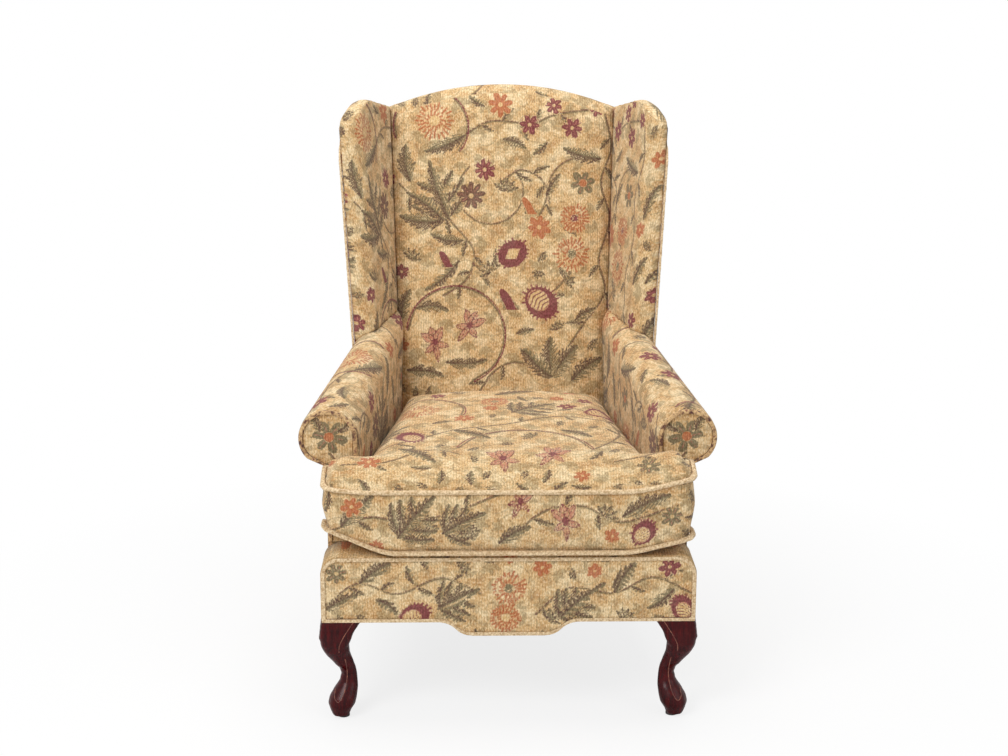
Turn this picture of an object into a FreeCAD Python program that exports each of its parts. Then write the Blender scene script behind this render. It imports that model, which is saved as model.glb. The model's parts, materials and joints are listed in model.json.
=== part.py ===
# Wingback armchair with rolled arms, cabriole front legs and a loose T cushion.
# Millimetres, +Z up, front towards -Y, origin on the floor under the middle of the chair.
import FreeCAD, Part
import Sketcher
import math
import os
import re

V = FreeCAD.Vector
FLATNESS = 0.0001
doc = FreeCAD.newDocument("wingback_armchair")

# Driving dimensions
SIZES = {
    # seat frame, plan and rails
    "front_y": -392,
    "side_half": 339,
    "side_taper": 0.09,
    "rail_bottom": 205,
    "rail_height": 90,
    "board": 28,
    "skin": 3,
    "block_leg": 95,
    "block_thick": 42,
    # front border and its drop
    "border_low": 200,
    "border_top": 321,
    "border_corner": 34,
    "drop_half": 66,
    "drop_shoulder": 127,
    "drop_depth": 26,
    # arms
    "arm_front": -303,
    "arm_rear": 238,
    "arm_inner_front": 273,
    "arm_inner_rear": 199,
    "roll_front": 54,
    "roll_rear": 34,
    "roll_height_front": 518,
    "roll_height_rear": 623,
    "arm_post_thick": 22,
    "arm_padding": 26,
    "arm_rail_wide": 44,
    "arm_rail_thick": 22,
    "tack_rail_low": 335,
    "tack_rail_high": 40,
    "tack_rail_thick": 19,
    # back, measured on its own raked plane from the seat height
    "back_y": 159,
    "back_z": 500,
    "back_rake": 15,
    "back_half": 213,
    "back_splay": 0.036,
    "back_shoulder": 578,
    "back_crest": 626,
    "back_foot": -178,
    "back_padding": 45,
    "back_depth": 92,
    "back_crown": 14,
    "rear_half": 279,
    "post_wide": 36,
    "crest_high": 62,
    "back_rail_low": -280,
    "back_rail_high": 88,
    "back_rail_front": 60,
    "rear_half_low": 288,
    "lumbar_low": -150,
    "lumbar_high": 45,
    "back_web_wide": 50,
    "back_web_pitch": 118,
    "back_web_first": -60,
    "web_thick": 1.5,
    "post_inset": 4,
    "arch_fall": 12,
    # wings, measured at the reference height
    "wing_reference": 600,
    "wing_low": 560,
    "wing_top": 1082,
    "wing_front_y": 63,
    "wing_lean": 0.2125,
    "wing_half": 298,
    "wing_flare": 0.07,
    "wing_nose": 46,
    "wing_bulge": 12,
    "wing_corner": 66,
    "wing_shoulder": 62,
    "wing_shoulder_fall": 58,
    "wing_rear_half": 281,
    "wing_post_wide": 24,
    "wing_post_deep": 30,
    "wing_rail_level": 1015,
    "wing_fall": 62,
    # front legs
    "leg_top_half": 35,
    "leg_centre": 300,
    "leg_setback": 38.5,
    "knee_level": 163,
    "knee_half": 30,
    "knee_reach": 15,
    "ankle_level": 80,
    "ankle_half": 15,
    "ankle_reach": -8,
    "foot_level": 30,
    "foot_half": 26,
    "foot_reach": 4,
    "sole_level": 4,
    "sole_half": 19,
    "glide_radius": 11,
    # rear legs
    "rear_leg_x": 262,
    "rear_leg_y": 113,
    "rear_leg_top": 19,
    "rear_leg_foot": 15,
    "rear_leg_rake": 62,
    # fixings
    "bolt_radius": 4,
    "bolt_low": 172,
    "bolt_high": 258,
    "nut_radius": 7.5,
    "nut_thick": 6.5,
    "bolt_inset": 12,
    "rear_bolt_inset": 9,
    # springs, deck and base cloth
    "spring_rows": 3,
    "spring_pitch": 140,
    "spring_turns": 10,
    "spring_bend": 13,
    "spring_reach": 17,
    "spring_wire": 3.6,
    "spring_rise": 6,
    "spring_front": -375,
    "spring_rear": 162,
    "clip_wide": 16,
    "deck_top": 326,
    "base_cloth": 1.5,
    "base_cloth_rear": 163,
    # cushion
    "cushion_gap": 0.3,
    "cushion_side_gap": 1.2,
    "cushion_front": -408,
    "ear_half": 331,
    "ear_gap": 2,
    "cushion_rear_gap": 9,
    "cushion_low_seam": 338,
    "cushion_high_seam": 445,
    "cushion_crown": 46,
    "cushion_bulge": 7,
    "welt_radius": 4.5,
    "cushion_corner": 24,
    "cushion_tuck": 8,
    "cushion_wrap": 4,
    "zip_length": 360,
    "zip_height": 7,
    "zip_level": 386,
    "zip_end": 4,
    "zip_slider_long": 12,
    "zip_slider_deep": 3.5,
    "zip_slider_high": 9,
}

sheet = doc.addObject("Spreadsheet::Sheet", "Sizes")
for row, (alias, number) in enumerate(SIZES.items(), start=1):
    sheet.set(f"A{row}", alias)
    sheet.set(f"B{row}", str(number))
    sheet.setAlias(f"B{row}", alias)
doc.recompute()

WORD = re.compile(r"\b(" + "|".join(SIZES) + r")\b")


def cells(formula):
    """Point every size named in a formula at its cell."""
    return WORD.sub(r"Sizes.\1", str(formula))


def number(formula):
    """The present value of a formula."""
    return float(sheet.evalExpression(cells(formula)))


def bind(item, **formulas):
    """Bind properties of an object to formulas."""
    for prop, formula in formulas.items():
        item.setExpression(prop.replace("__", "."), cells(formula))


def blend(front, rear, place, start, end):
    """A size that runs straight from one place to another."""
    return f"({front} + ({place} - {start}) * ({rear} - {front}) / ({end} - {start}))"


def side_at(place):
    """Half width over the outside panels at a depth."""
    return f"(side_half - ({place} - front_y) * side_taper)"


def arm_inner_at(place):
    """Half width between the arms at a depth."""
    return blend("arm_inner_front", "arm_inner_rear", place, "arm_front", "arm_rear")


def back_face_at(level):
    """Depth of the inside back's plane at a height."""
    return f"(back_y + ({level} - back_z) * tan(back_rake * 1 deg))"


def arc_centre(start, via, end):
    """Centre of the circle through three points."""
    (ax, ay), (bx, by), (cx, cy) = start, via, end
    turn = 2 * (ax * (by - cy) + bx * (cy - ay) + cx * (ay - by))
    a2, b2, c2 = ax * ax + ay * ay, bx * bx + by * by, cx * cx + cy * cy
    x = (a2 * (by - cy) + b2 * (cy - ay) + c2 * (ay - by)) / turn
    y = (a2 * (cx - bx) + b2 * (ax - cx) + c2 * (bx - ax)) / turn
    return x, y


def arc_edge(start, via, end):
    """An arc through three points, and which of its ends comes first."""
    x, y = arc_centre(start, via, end)
    side = (via[0] - start[0]) * (end[1] - start[1]) - (via[1] - start[1]) * (end[0] - start[0])
    first, last = (start, end) if side > 0 else (end, start)
    circle = Part.Circle(V(x, y, 0), V(0, 0, 1), math.dist((x, y), start))
    low, high = (math.atan2(p[1] - y, p[0] - x) for p in (first, last))
    return Part.ArcOfCircle(circle, low, high), (1, 2) if side > 0 else (2, 1)


def fix_point(sketch, geometry, vertex, point):
    """Hold a sketch vertex at a pair of formulas."""
    for kind, formula in zip(("DistanceX", "DistanceY"), point):
        held = Sketcher.Constraint(kind, -1, 1, geometry, vertex, number(formula))
        index = sketch.addConstraint(held)
        sketch.setExpression(f"Constraints[{index}]", cells(formula))


def draw(sketch, points):
    """Draw a closed outline: corner points, and 'arc' points that bend the edge they lie on."""
    corners = [i for i, point in enumerate(points) if len(point) == 2]
    places = [(number(point[0]), number(point[1])) for point in points]
    ends = []
    for count, index in enumerate(corners):
        following = corners[(count + 1) % len(corners)]
        start, end = places[index], places[following]
        if (index + 1) % len(points) == following:
            edge, order = Part.LineSegment(V(*start, 0), V(*end, 0)), (1, 2)
        else:
            edge, order = arc_edge(start, places[index + 1], end)
        ends.append((sketch.addGeometry(edge), order))
    for count, (edge, order) in enumerate(ends):
        after, next_order = ends[(count + 1) % len(ends)]
        sketch.addConstraint(Sketcher.Constraint("Coincident", edge, order[1], after, next_order[0]))
        fix_point(sketch, edge, order[0], points[corners[count]])
    for count, index in enumerate(corners):
        following = corners[(count + 1) % len(corners)]
        if (index + 1) % len(points) != following:
            guide = sketch.addGeometry(Part.Point(V(*places[index + 1], 0)), True)
            fix_point(sketch, guide, 1, points[index + 1][:2])
            sketch.addConstraint(Sketcher.Constraint("PointOnObject", guide, 1, ends[count][0]))


def origin_plane(body, role):
    """One of a body's own origin planes."""
    return next(item for item in body.Origin.OriginFeatures if item.Role == role)


def outline(body, role, height, points):
    """A closed outline on a body's origin plane, moved along the plane's normal."""
    sketch = body.newObject("Sketcher::SketchObject", f"{body.Name}_outline")
    sketch.AttachmentSupport = [(origin_plane(body, role), "")]
    sketch.MapMode = "FlatFace"
    bind(sketch, AttachmentOffset__Base__z=height)
    draw(sketch, points)
    return sketch


def new_body(label):
    """An empty body with its label."""
    body = doc.addObject("PartDesign::Body", label)
    body.Label = label
    return body


def padded(label, role, height, length, points, reverse=False):
    """A body made of one outline and its thickness."""
    body = new_body(label)
    pad = body.newObject("PartDesign::Pad", f"{label}_pad")
    pad.Profile = outline(body, role, height, points)
    pad.Reversed = reverse
    bind(pad, Length=length)
    return body


def is_straight(edge):
    """True where an edge runs straight between its ends."""
    start, end = edge.valueAt(edge.FirstParameter), edge.valueAt(edge.LastParameter)
    middle = edge.valueAt((edge.FirstParameter + edge.LastParameter) / 2)
    return middle.distanceToPoint((start + end) * 0.5) < FLATNESS


def flat_sided(label, body):
    """The same form with its flat sides held as planes, so that what is cut from it stays exact."""
    doc.recompute()
    faces = []
    for face in body.Shape.Faces:
        if face.findPlane(FLATNESS) and all(is_straight(edge) for edge in face.Edges):
            corners = [vertex.Point for vertex in face.OuterWire.OrderedVertexes]
            face = Part.Face(Part.makePolygon(corners + corners[:1]))
        faces.append(face)
    skin = Part.Compound(faces)
    skin.sewShape(FLATNESS)
    solid = Part.Solid(skin.Shells[0])
    if solid.Volume < 0:
        solid.reverse()
    form = doc.addObject("Part::Feature", f"{label}_flats")
    form.Shape = solid
    return form


def lofted(label, role, sections, ruled=True):
    """A body lofted through outlines, each given with its height."""
    body = new_body(label)
    sketches = [outline(body, role, height, points) for height, points in sections]
    loft = body.newObject("PartDesign::AdditiveLoft", f"{label}_loft")
    loft.Profile = sketches[0]
    loft.Sections = sketches[1:]
    loft.Ruled = ruled
    return flat_sided(label, body)


def rake(item):
    """Lay an object on the raked plane of the back."""
    item.Placement = FreeCAD.Placement(V(0, 0, 0), FreeCAD.Rotation(V(1, 0, 0), number("back_rake")))
    item.setExpression("Placement.Rotation.Angle", cells("-back_rake"))
    bind(item, Placement__Base__y="back_y", Placement__Base__z="back_z")
    return item


def box(label, corner, size):
    """A block from its low corner and its three lengths."""
    block = doc.addObject("Part::Box", label)
    bind(block, Length=size[0], Width=size[1], Height=size[2])
    bind(block, Placement__Base__x=corner[0], Placement__Base__y=corner[1], Placement__Base__z=corner[2])
    return block


def cylinder(label, x, y, low, high, radius):
    """An upright round bar between two heights."""
    bar = doc.addObject("Part::Cylinder", label)
    bind(bar, Radius=radius, Height=f"{high} - {low}")
    bind(bar, Placement__Base__x=x, Placement__Base__y=y, Placement__Base__z=low)
    return bar


def without(label, base, *tools):
    """A piece with others taken out of it."""
    for count, tool in enumerate(tools):
        result = doc.addObject("Part::Cut", label if count == len(tools) - 1 else f"{label}_less")
        result.Base = base
        result.Tool = tool
        base = result
    return base


def shared(label, base, tool):
    """The part of a piece that lies inside another."""
    result = doc.addObject("Part::Common", label)
    result.Base = base
    result.Tool = tool
    return result


def group(label, items):
    """Several separate solids under one name."""
    result = doc.addObject("Part::Compound", label)
    result.Links = items
    return result


def mirrored(label, source):
    """The same piece on the other side of the chair."""
    result = doc.addObject("Part::Mirroring", label)
    result.Source = source
    result.Normal = V(1, 0, 0)
    return result


SUBPARTS = {}


def keep(label, item):
    """Name a finished sub-part."""
    item.Label = label
    SUBPARTS[label] = item
    return item


def keep_pair(label, right):
    """Keep a right-hand piece and its left-hand twin."""
    keep(f"{label}_right", right)
    keep(f"{label}_left", mirrored(f"{label}_left", right))
    return right


RAIL_TOP = "(rail_bottom + rail_height)"
REAR_PLANE = "(back_padding / cos(back_rake * 1 deg))"


def below(item, level):
    """Drop what lies under a height."""
    ground = box(f"{item.Name}_ground", ("-900", "-900", "-900"), ("1800", "1800", f"900 + {level}"))
    return without(f"{item.Name}_trimmed", item, ground)


# Seat frame
def drop_points(half, low, high, corner):
    """Front outline with the shaped drop in its lower edge."""
    reach = "(drop_shoulder - drop_half)"
    right = [
        ("drop_half", f"{low} - drop_depth"),
        (f"drop_half + 0.272 * {reach}", f"{low} - 0.87 * drop_depth", "arc"),
        (f"drop_half + 0.5 * {reach}", f"{low} - 0.5 * drop_depth"),
        (f"drop_half + 0.728 * {reach}", f"{low} - 0.13 * drop_depth", "arc"),
        ("drop_shoulder", low),
        (half, low),
    ]
    if corner:
        right += [
            (half, f"{high} - {corner}"),
            (f"{half} - 0.293 * {corner}", f"{high} - 0.293 * {corner}", "arc"),
            (f"{half} - {corner}", high),
        ]
    else:
        right.append((half, high))
    left = [(f"-({point[0]})",) + point[1:] for point in reversed(right)]
    return right + left


def border_form(label, inset, low):
    """The upholstered box over the front rail."""
    points = drop_points(f"(side_half - {inset})", low, f"(border_top - {inset})", f"(border_corner - {inset})")
    front = f"(front_y + {inset})"
    return padded(label, "XZ_Plane", f"-{front}", f"arm_front - {front}", points, reverse=True)


def side_rail():
    """Right seat rail: a straight board that follows the taper of the seat."""
    outer = [(f"{side_at(y)} - skin", y) for y in ("(front_y + skin)", "arm_rear")]
    inner = [(f"{side_at(y)} - skin - board", y) for y in ("arm_rear", "(front_y + skin)")]
    return padded("side_rail", "XY_Plane", "rail_bottom", "rail_height", outer + inner)


def front_rail(sides):
    """Front seat rail with the drop sawn in its lower edge."""
    points = drop_points("(side_half - skin - board / 2)", "rail_bottom", RAIL_TOP, None)
    board = padded("front_rail_board", "XZ_Plane", "-(front_y + skin)", "board", points, reverse=True)
    return without("front_rail", board, *sides)


def corner_block(label, corner_y, away):
    """Glued block in the corner of two rails; away is the way it runs along the side."""
    reach = f"({corner_y} {away} block_leg)"
    inner = f"({side_at(corner_y)} - skin - board)"
    far = f"({side_at(reach)} - skin - board)"
    points = [(inner, corner_y), (f"{inner} - block_leg", corner_y), (far, reach)]
    return padded(label, "XY_Plane", "rail_bottom", "block_thick", points)


# Back frame, on the raked plane
def raked_board(label, front, thick, points):
    """A flat piece of the back, from its outline and its depth behind the inside back."""
    return rake(padded(label, "XZ_Plane", f"-({front})", thick, points, reverse=True))


def slab(label, half, low, high, front, thick):
    """A straight cross piece of the back."""
    points = [(f"-{half}", low), (half, low), (half, high), (f"-{half}", high)]
    return raked_board(label, front, thick, points)


POST_INNER = "(rear_half - post_inset - post_wide)"
POST_OUTER = "(rear_half - post_inset)"
ARCH_END = "(back_shoulder - arch_fall)"


def crest_rail():
    """Arched top rail of the back."""
    points = [
        (f"-{POST_OUTER}", f"{ARCH_END} - skin - crest_high"),
        ("0", "back_crest - skin - crest_high", "arc"),
        (POST_OUTER, f"{ARCH_END} - skin - crest_high"),
        (POST_OUTER, f"{ARCH_END} - skin"),
        ("0", "back_crest - skin", "arc"),
        (f"-{POST_OUTER}", f"{ARCH_END} - skin"),
    ]
    return raked_board("crest_rail", "back_padding", "board", points)


def back_post(crest):
    """Upright of the back, from the seat rail to the crest rail."""
    points = [
        (POST_INNER, "-back_z"),
        (POST_OUTER, "-back_z"),
        (POST_OUTER, f"{ARCH_END} - skin"),
        (POST_INNER, f"{ARCH_END} - skin"),
    ]
    post = raked_board("back_post_blank", "back_padding", "back_depth - back_padding - skin", points)
    return below(without("back_post_top", post, crest), "rail_bottom")


def back_webbing():
    """Webbing across the back: level strips with upright strips over them."""
    strips = []
    for count in range(5):
        low = f"(back_web_first + {count} * back_web_pitch)"
        strips.append(slab(f"web_{count}", POST_INNER, low, f"{low} + back_web_wide", "back_padding", "web_thick"))
    for count in (-1, 0, 1):
        middle = f"({count} * back_web_pitch)"
        points = [
            (f"{middle} - back_web_wide / 2", "lumbar_low + lumbar_high"),
            (f"{middle} + back_web_wide / 2", "lumbar_low + lumbar_high"),
            (f"{middle} + back_web_wide / 2", "back_web_first + 4.5 * back_web_pitch"),
            (f"{middle} - back_web_wide / 2", "back_web_first + 4.5 * back_web_pitch"),
        ]
        strips.append(raked_board(f"web_up_{count + 1}", "back_padding + web_thick", "web_thick", points))
    return group("back_webbing", strips)


# Upholstered forms
def inside_back_points(inset):
    """Front outline of the inside back with its arched top."""
    foot = f"(back_half + back_splay * back_foot - {inset})"
    head = f"(back_half + back_splay * back_shoulder - {inset})"
    return [
        (f"-{foot}", "back_foot"),
        (foot, "back_foot"),
        (head, f"back_shoulder - {inset}"),
        ("0", f"back_crest - {inset}", "arc"),
        (f"-{head}", f"back_shoulder - {inset}"),
    ]


def inside_back_form(label, inset):
    """The padded inside back: a crowned face with drawn-in edges."""
    steps = [("-back_crown", "4.2 * back_crown"), ("-0.35 * back_crown", "1.5 * back_crown"),
             ("0.8 * back_crown", "0.2 * back_crown"), ("1.6 * back_crown", "0")]
    sections = [(f"-({depth} + {inset})", inside_back_points(f"({edge} + {inset})")) for depth, edge in steps]
    sections.append(("-back_padding", inside_back_points(inset)))
    return rake(lofted(label, "XZ_Plane", sections))


def arch_points(half_low, half, low, inset):
    """Outline of the outside back or of its top band."""
    return [
        (f"-{half_low}", low),
        (half_low, low),
        (half, f"{ARCH_END} - {inset}"),
        ("0", f"back_crest - {inset}", "arc"),
        (f"-{half}", f"{ARCH_END} - {inset}"),
    ]


def arm_sides(end, place, inset):
    """Formulas that an arm's section shares: roll centre, radius, inner and outer side."""
    return {
        "radius": f"(roll_{end} - {inset})",
        "middle": f"(arm_inner_{end} + roll_{end})",
        "level": f"roll_height_{end}",
        "inner": f"(arm_inner_{end} + {inset})",
        "outer": f"({side_at(place)} - {inset})",
        "neck": f"(roll_height_{end} - roll_{end})",
    }


def on_roll(at, turn):
    """A point of the arm's roll at an angle from level."""
    return f"{at['middle']} + {at['radius']} * cos({turn} deg)", f"{at['level']} + {at['radius']} * sin({turn} deg)"


def arm_points(end, place, inset, low):
    """Section of an arm: straight inner side, rolled head, undercut and outer side."""
    at = arm_sides(end, place, inset)
    return [
        (at["inner"], low),
        (at["inner"], at["level"]),
        on_roll(at, 135) + ("arc",),
        on_roll(at, 90),
        on_roll(at, 45) + ("arc",),
        on_roll(at, 0),
        on_roll(at, -22.5) + ("arc",),
        on_roll(at, -45),
        (at["outer"], at["neck"]),
        (at["outer"], low),
    ]


def arm_facets(end, place, inset, low):
    """The same section with its roll in flats, so that both ends of an arm keep parallel sides."""
    at = arm_sides(end, place, inset)
    roll = [on_roll(at, 180 - 18.75 * step) for step in range(1, 13)]
    return [(at["inner"], low), (at["inner"], at["level"])] + roll + [(at["outer"], at["neck"]), (at["outer"], low)]


def arm_form(label, inset, low):
    """The upholstered arm, lofted from its front to the back."""
    sections = [
        ("-arm_front", arm_facets("front", "arm_front", inset, low)),
        ("-arm_rear", arm_facets("rear", "arm_rear", inset, low)),
    ]
    return lofted(label, "XZ_Plane", sections)


def roll_low_at(place):
    """Height of the seam under the arm roll at a depth."""
    front, rear = "(roll_height_front - roll_front)", "(roll_height_rear - roll_rear)"
    return blend(front, rear, place, "arm_front", "arm_rear")


def outside_arm_panel():
    """Cloth on the outside of the arm, from under the roll to the seat rail's lower edge."""
    end = "(arm_rear + back_depth)"
    sections = []
    for place in ("arm_front", end):
        outer, top = side_at(place), roll_low_at(place)
        points = [(f"{outer} - skin", "border_low"), (outer, "border_low"), (outer, top), (f"{outer} - skin", top)]
        sections.append((f"-{place}", points))
    return lofted("outside_arm_panel", "XZ_Plane", sections)


def arm_cavity():
    """Empty space between the inside arm's padding and the outside panel."""
    sections = []
    for end, place in (("front", "arm_front"), ("rear", "arm_rear")):
        inner = f"(arm_inner_{end} + skin + arm_padding)"
        outer = f"({side_at(place)} - skin)"
        top = f"(roll_height_{end} - roll_{end})"
        points = [(inner, "border_low"), (outer, "border_low"), (outer, top), (inner, top)]
        sections.append((f"-{place}", points))
    return lofted("arm_cavity", "XZ_Plane", sections)


def arm_rail():
    """Rail along the middle of the arm roll."""
    sections = []
    for end, place in (("front", "(arm_front + arm_post_thick)"), ("rear", "arm_rear")):
        middle = f"(arm_inner_{end} + roll_{end})"
        half, low = "arm_rail_wide / 2", f"(roll_height_{end} - arm_rail_thick / 2)"
        high = f"({low} + arm_rail_thick)"
        points = [(f"{middle} - {half}", low), (f"{middle} + {half}", low),
                  (f"{middle} + {half}", high), (f"{middle} - {half}", high)]
        sections.append((f"-{place}", points))
    return lofted("arm_rail_blank", "XZ_Plane", sections)


def arm_tack_rail():
    """Low rail that the inside arm's cloth is tacked to."""
    sections = []
    for place in ("(arm_front + arm_post_thick)", "arm_rear"):
        inner = f"({arm_inner_at(place)} + skin + arm_padding)"
        high = "(tack_rail_low + tack_rail_high)"
        points = [(inner, "tack_rail_low"), (f"{inner} + tack_rail_thick", "tack_rail_low"),
                  (f"{inner} + tack_rail_thick", high), (inner, high)]
        sections.append((f"-{place}", points))
    return lofted("arm_tack_rail_blank", "XZ_Plane", sections)


def arm_front_piece(label, front, thick, inset, low):
    """A flat piece in the shape of the arm's front."""
    points = arm_points("front", "arm_front", inset, low)
    return padded(label, "XZ_Plane", f"-({front})", thick, points, reverse=True)


def wing_place(level, inset):
    """Named corners of a wing's plan section at a height."""
    rise = f"({level} - wing_reference)"
    outer = f"(wing_half + {rise} * wing_flare - {inset})"
    front = f"(wing_front_y + {rise} * wing_lean + {inset})"
    seam = f"(back_half + back_splay * ({level} - back_z) / cos(back_rake * 1 deg) + {inset})"
    return {"outer": outer, "front": front, "inner": f"({outer} - wing_nose + 2 * {inset})", "seam": seam,
            "face": back_face_at(level), "rear": f"({back_face_at(level)} + {REAR_PLANE})",
            "corner": f"(wing_rear_half - {inset})"}


def wing_points(level, inset):
    """Plan section of a wing: rounded front edge, flared inner face, flat outside."""
    at = wing_place(level, inset)
    nose = []
    for share in (0.12, 0.32, 0.6, 0.85):
        swell = round(math.sin(math.pi * share ** 0.8), 3)
        nose.append((f"{at['outer']} + ({at['inner']} - {at['outer']}) * {share}",
                     f"{at['front']} + wing_bulge * ({share} / 2 - {swell})"))
    return [
        (at["outer"], at["front"]),
        *nose,
        (at["inner"], f"{at['front']} + wing_bulge / 2"),
        (at["seam"], at["face"]),
        (at["seam"], at["rear"]),
        (at["corner"], at["rear"]),
    ]


def wing_profile(label, inset, ahead="wing_bulge", drop="0"):
    """Side outline of a wing with its rounded upper front corner."""
    top = f"(wing_top - {drop} - {inset})"
    start = f"({top} - wing_corner)"
    front_low = wing_place("wing_low", inset)["front"]
    front_start = wing_place(start, inset)["front"]
    rear = f"({back_face_at(top)} + back_depth + wing_corner)"
    points = [(f"{front_low} - {ahead}", "wing_low")]
    for turn in (0, 22.5, 45, 67.5, 90):
        rise = f"(0.95 * wing_corner * sin({turn} deg))"
        bend = f"(0.95 * wing_corner * (1 - cos({turn} deg)))"
        points.append((f"{front_start} - {ahead} + wing_lean * {rise} + {bend}", f"{start} + {rise}"))
    points += [(rear, f"{top} - wing_fall"), (rear, "wing_low")]
    return padded(label, "YZ_Plane", "back_half / 2", "side_half", points)


def wing_front_view(label, inset):
    """Front outline of a wing with its rounded outer shoulder."""
    top = f"(wing_top - {inset})"
    start = f"({top} - wing_shoulder_fall)"
    outer = f"({wing_place(start, inset)['outer']} + 1)"
    flats = []
    for turn in (22.5, 45, 67.5):
        flats.append((f"{outer} - wing_shoulder * (1 - cos({turn} deg))",
                      f"{start} + wing_shoulder_fall * sin({turn} deg)"))
    low_outer = f"({wing_place('wing_low', inset)['outer']} + 1)"
    points = [("back_half / 2", "wing_low"), (low_outer, "wing_low"), (outer, start), *flats,
              (f"{outer} - wing_shoulder", top), ("back_half / 2", top)]
    return padded(label, "XZ_Plane", "0", "back_z", points, reverse=True)


def wing_form(label, inset):
    """The upholstered wing."""
    sections = [(level, wing_points(level, inset)) for level in ("wing_low", "wing_top")]
    body = lofted(f"{label}_loft", "XY_Plane", sections)
    sided = shared(f"{label}_sided", body, wing_profile(f"{label}_profile", inset))
    return shared(label, sided, wing_front_view(f"{label}_view", inset))


def outside_wing_panel(profile):
    """Cloth on the outside of the wing, from its front edge round to the back."""
    sections = []
    for level in ("wing_low", "wing_top"):
        outside, lining = wing_place(level, "0"), wing_place(level, "skin")
        end = f"({back_face_at(level)} + back_depth / cos(back_rake * 1 deg))"
        sections.append((level, [
            (outside["outer"], outside["front"]),
            (outside["corner"], outside["rear"]),
            ("rear_half", end),
            ("rear_half - skin", end),
            (lining["corner"], outside["rear"]),
            (lining["outer"], lining["front"]),
        ]))
    panel = lofted("outside_wing_panel", "XY_Plane", sections)
    clipped = shared("outside_wing_clipped", panel, profile)
    return shared("outside_wing_shouldered", clipped, wing_front_view("outside_wing_view", "0"))


def wing_post():
    """Front upright of the wing, standing on the arm rail."""
    sections = []
    for level in ("wing_low", "wing_rail_level"):
        at = wing_place(level, "skin")
        outer, front = f"({at['outer']} - 4)", f"({at['front']} + 6)"
        points = [(f"{outer} - wing_post_wide", front), (outer, front),
                  (outer, f"{front} + wing_post_deep"), (f"{outer} - wing_post_wide", f"{front} + wing_post_deep")]
        sections.append((level, points))
    return lofted("wing_post_blank", "XY_Plane", sections)


def wing_top_rail():
    """Rail from the top of the wing post back to the back post."""
    at = wing_place("wing_rail_level", "skin")
    outer, front = f"({at['outer']} - 4)", f"({at['front']} + 6)"
    corner = f"({at['corner']} - 6)"
    points = [(outer, front), (corner, f"{at['rear']} + board"), (f"{corner} - wing_post_wide", f"{at['rear']} + board"),
              (f"{outer} - wing_post_wide", front)]
    return padded("wing_top_rail_blank", "XY_Plane", "wing_rail_level", "board", points)


def zigzag_side(middle, offset, bend):
    """Points along one side of a zigzag wire: straight runs joined by squared-off half turns."""
    turns, reach = int(number("spring_turns")), number("spring_reach")
    y, side = number("spring_front"), 1
    points = [V(middle - reach, y + offset, 0)]
    for _ in range(turns):
        outer = reach + bend - side * offset
        points.append(V(middle + side * reach, y + side * offset, 0))
        points.append(V(middle + side * outer, y + 0.5 * bend + side * offset / 2, 0))
        points.append(V(middle + side * outer, y + 1.5 * bend - side * offset / 2, 0))
        points.append(V(middle + side * reach, y + 2 * bend - side * offset, 0))
        y, side = y + 2 * bend, -side
    points.append(V(middle + side * reach, y + side * offset, 0))
    return points


def seat_springs():
    """Rows of zigzag wire from the front rail to the back rail, and the clips that hold their ends."""
    rows = int(number("spring_rows"))
    bend = number("(spring_rear - spring_front) / (2 * spring_turns)")
    wire = number("spring_wire")
    springs, clips = [], []
    for row in range(rows):
        offset = f"({row} - (spring_rows - 1) / 2) * spring_pitch"
        points = zigzag_side(number(offset), wire / 2, bend)
        points += reversed(zigzag_side(number(offset), -wire / 2, bend))
        loop = Part.makePolygon(points + points[:1])
        spring = doc.addObject("Part::Feature", f"seat_spring_{row}")
        spring.Shape = Part.Face(loop).extrude(V(0, 0, wire))
        spring.Placement.Base = V(0, 0, number(f"{RAIL_TOP} + spring_rise - spring_wire / 2"))
        springs.append(spring)
        for place in ("spring_front", "spring_rear"):
            clip = box(
                f"clip_{row}_{place}",
                (f"{offset} - clip_wide / 2", f"{place} - spring_wire", RAIL_TOP),
                ("clip_wide", "2 * spring_wire", "spring_rise + spring_wire"),
            )
            clips.append(without(f"clip_{row}_{place}_bored", clip, spring))
    return group("seat_springs", springs), group("spring_clips", clips)


def deck(label, low, thick):
    """A layer of the seat's deck, between the arms and up to the inside back."""
    front = "arm_front"
    rear = f"({back_face_at('deck_top')} - 1.1 * back_crown)"
    points = [
        (f"-{arm_inner_at(front)}", front),
        (arm_inner_at(front), front),
        (arm_inner_at(rear), rear),
        (f"-{arm_inner_at(rear)}", rear),
    ]
    return padded(label, "XY_Plane", low, thick, points)


# Legs
def eased_square(x, y, half, roundness):
    """Square outline about a centre, each corner eased by two short flats."""
    points = []
    for quarter in range(4):
        for step in range(3):
            turn = 90 * quarter + 45 * step
            along = 1 if quarter in (0, 3) else -1
            across = 1 if quarter in (0, 1) else -1
            reach_x = f"({along} * (1 - {roundness}) + {roundness} * cos({turn} deg))"
            reach_y = f"({across} * (1 - {roundness}) + {roundness} * sin({turn} deg))"
            points.append((f"{x} + {half} * {reach_x}", f"{y} + {half} * {reach_y}"))
    return points


LEG_Y = "(front_y + leg_setback)"


def eased(low, high, share):
    """A size between two others, eased at both ends."""
    ease = round(share * share * (3 - 2 * share), 3)
    return f"({low} + ({high} - {low}) * {ease})"


def leg_stations(named, steps):
    """Level, half width, reach and roundness at stations eased between the named ones."""
    stations = []
    for low, high in zip(named, named[1:]):
        for step in range(steps):
            share = step / steps
            level = f"({low[0]} + ({high[0]} - {low[0]}) * {round(share, 3)})"
            stations.append((level, eased(low[1], high[1], share), eased(low[2], high[2], share),
                             round(low[3] + (high[3] - low[3]) * share, 3)))
    return stations + [named[-1]]


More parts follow.
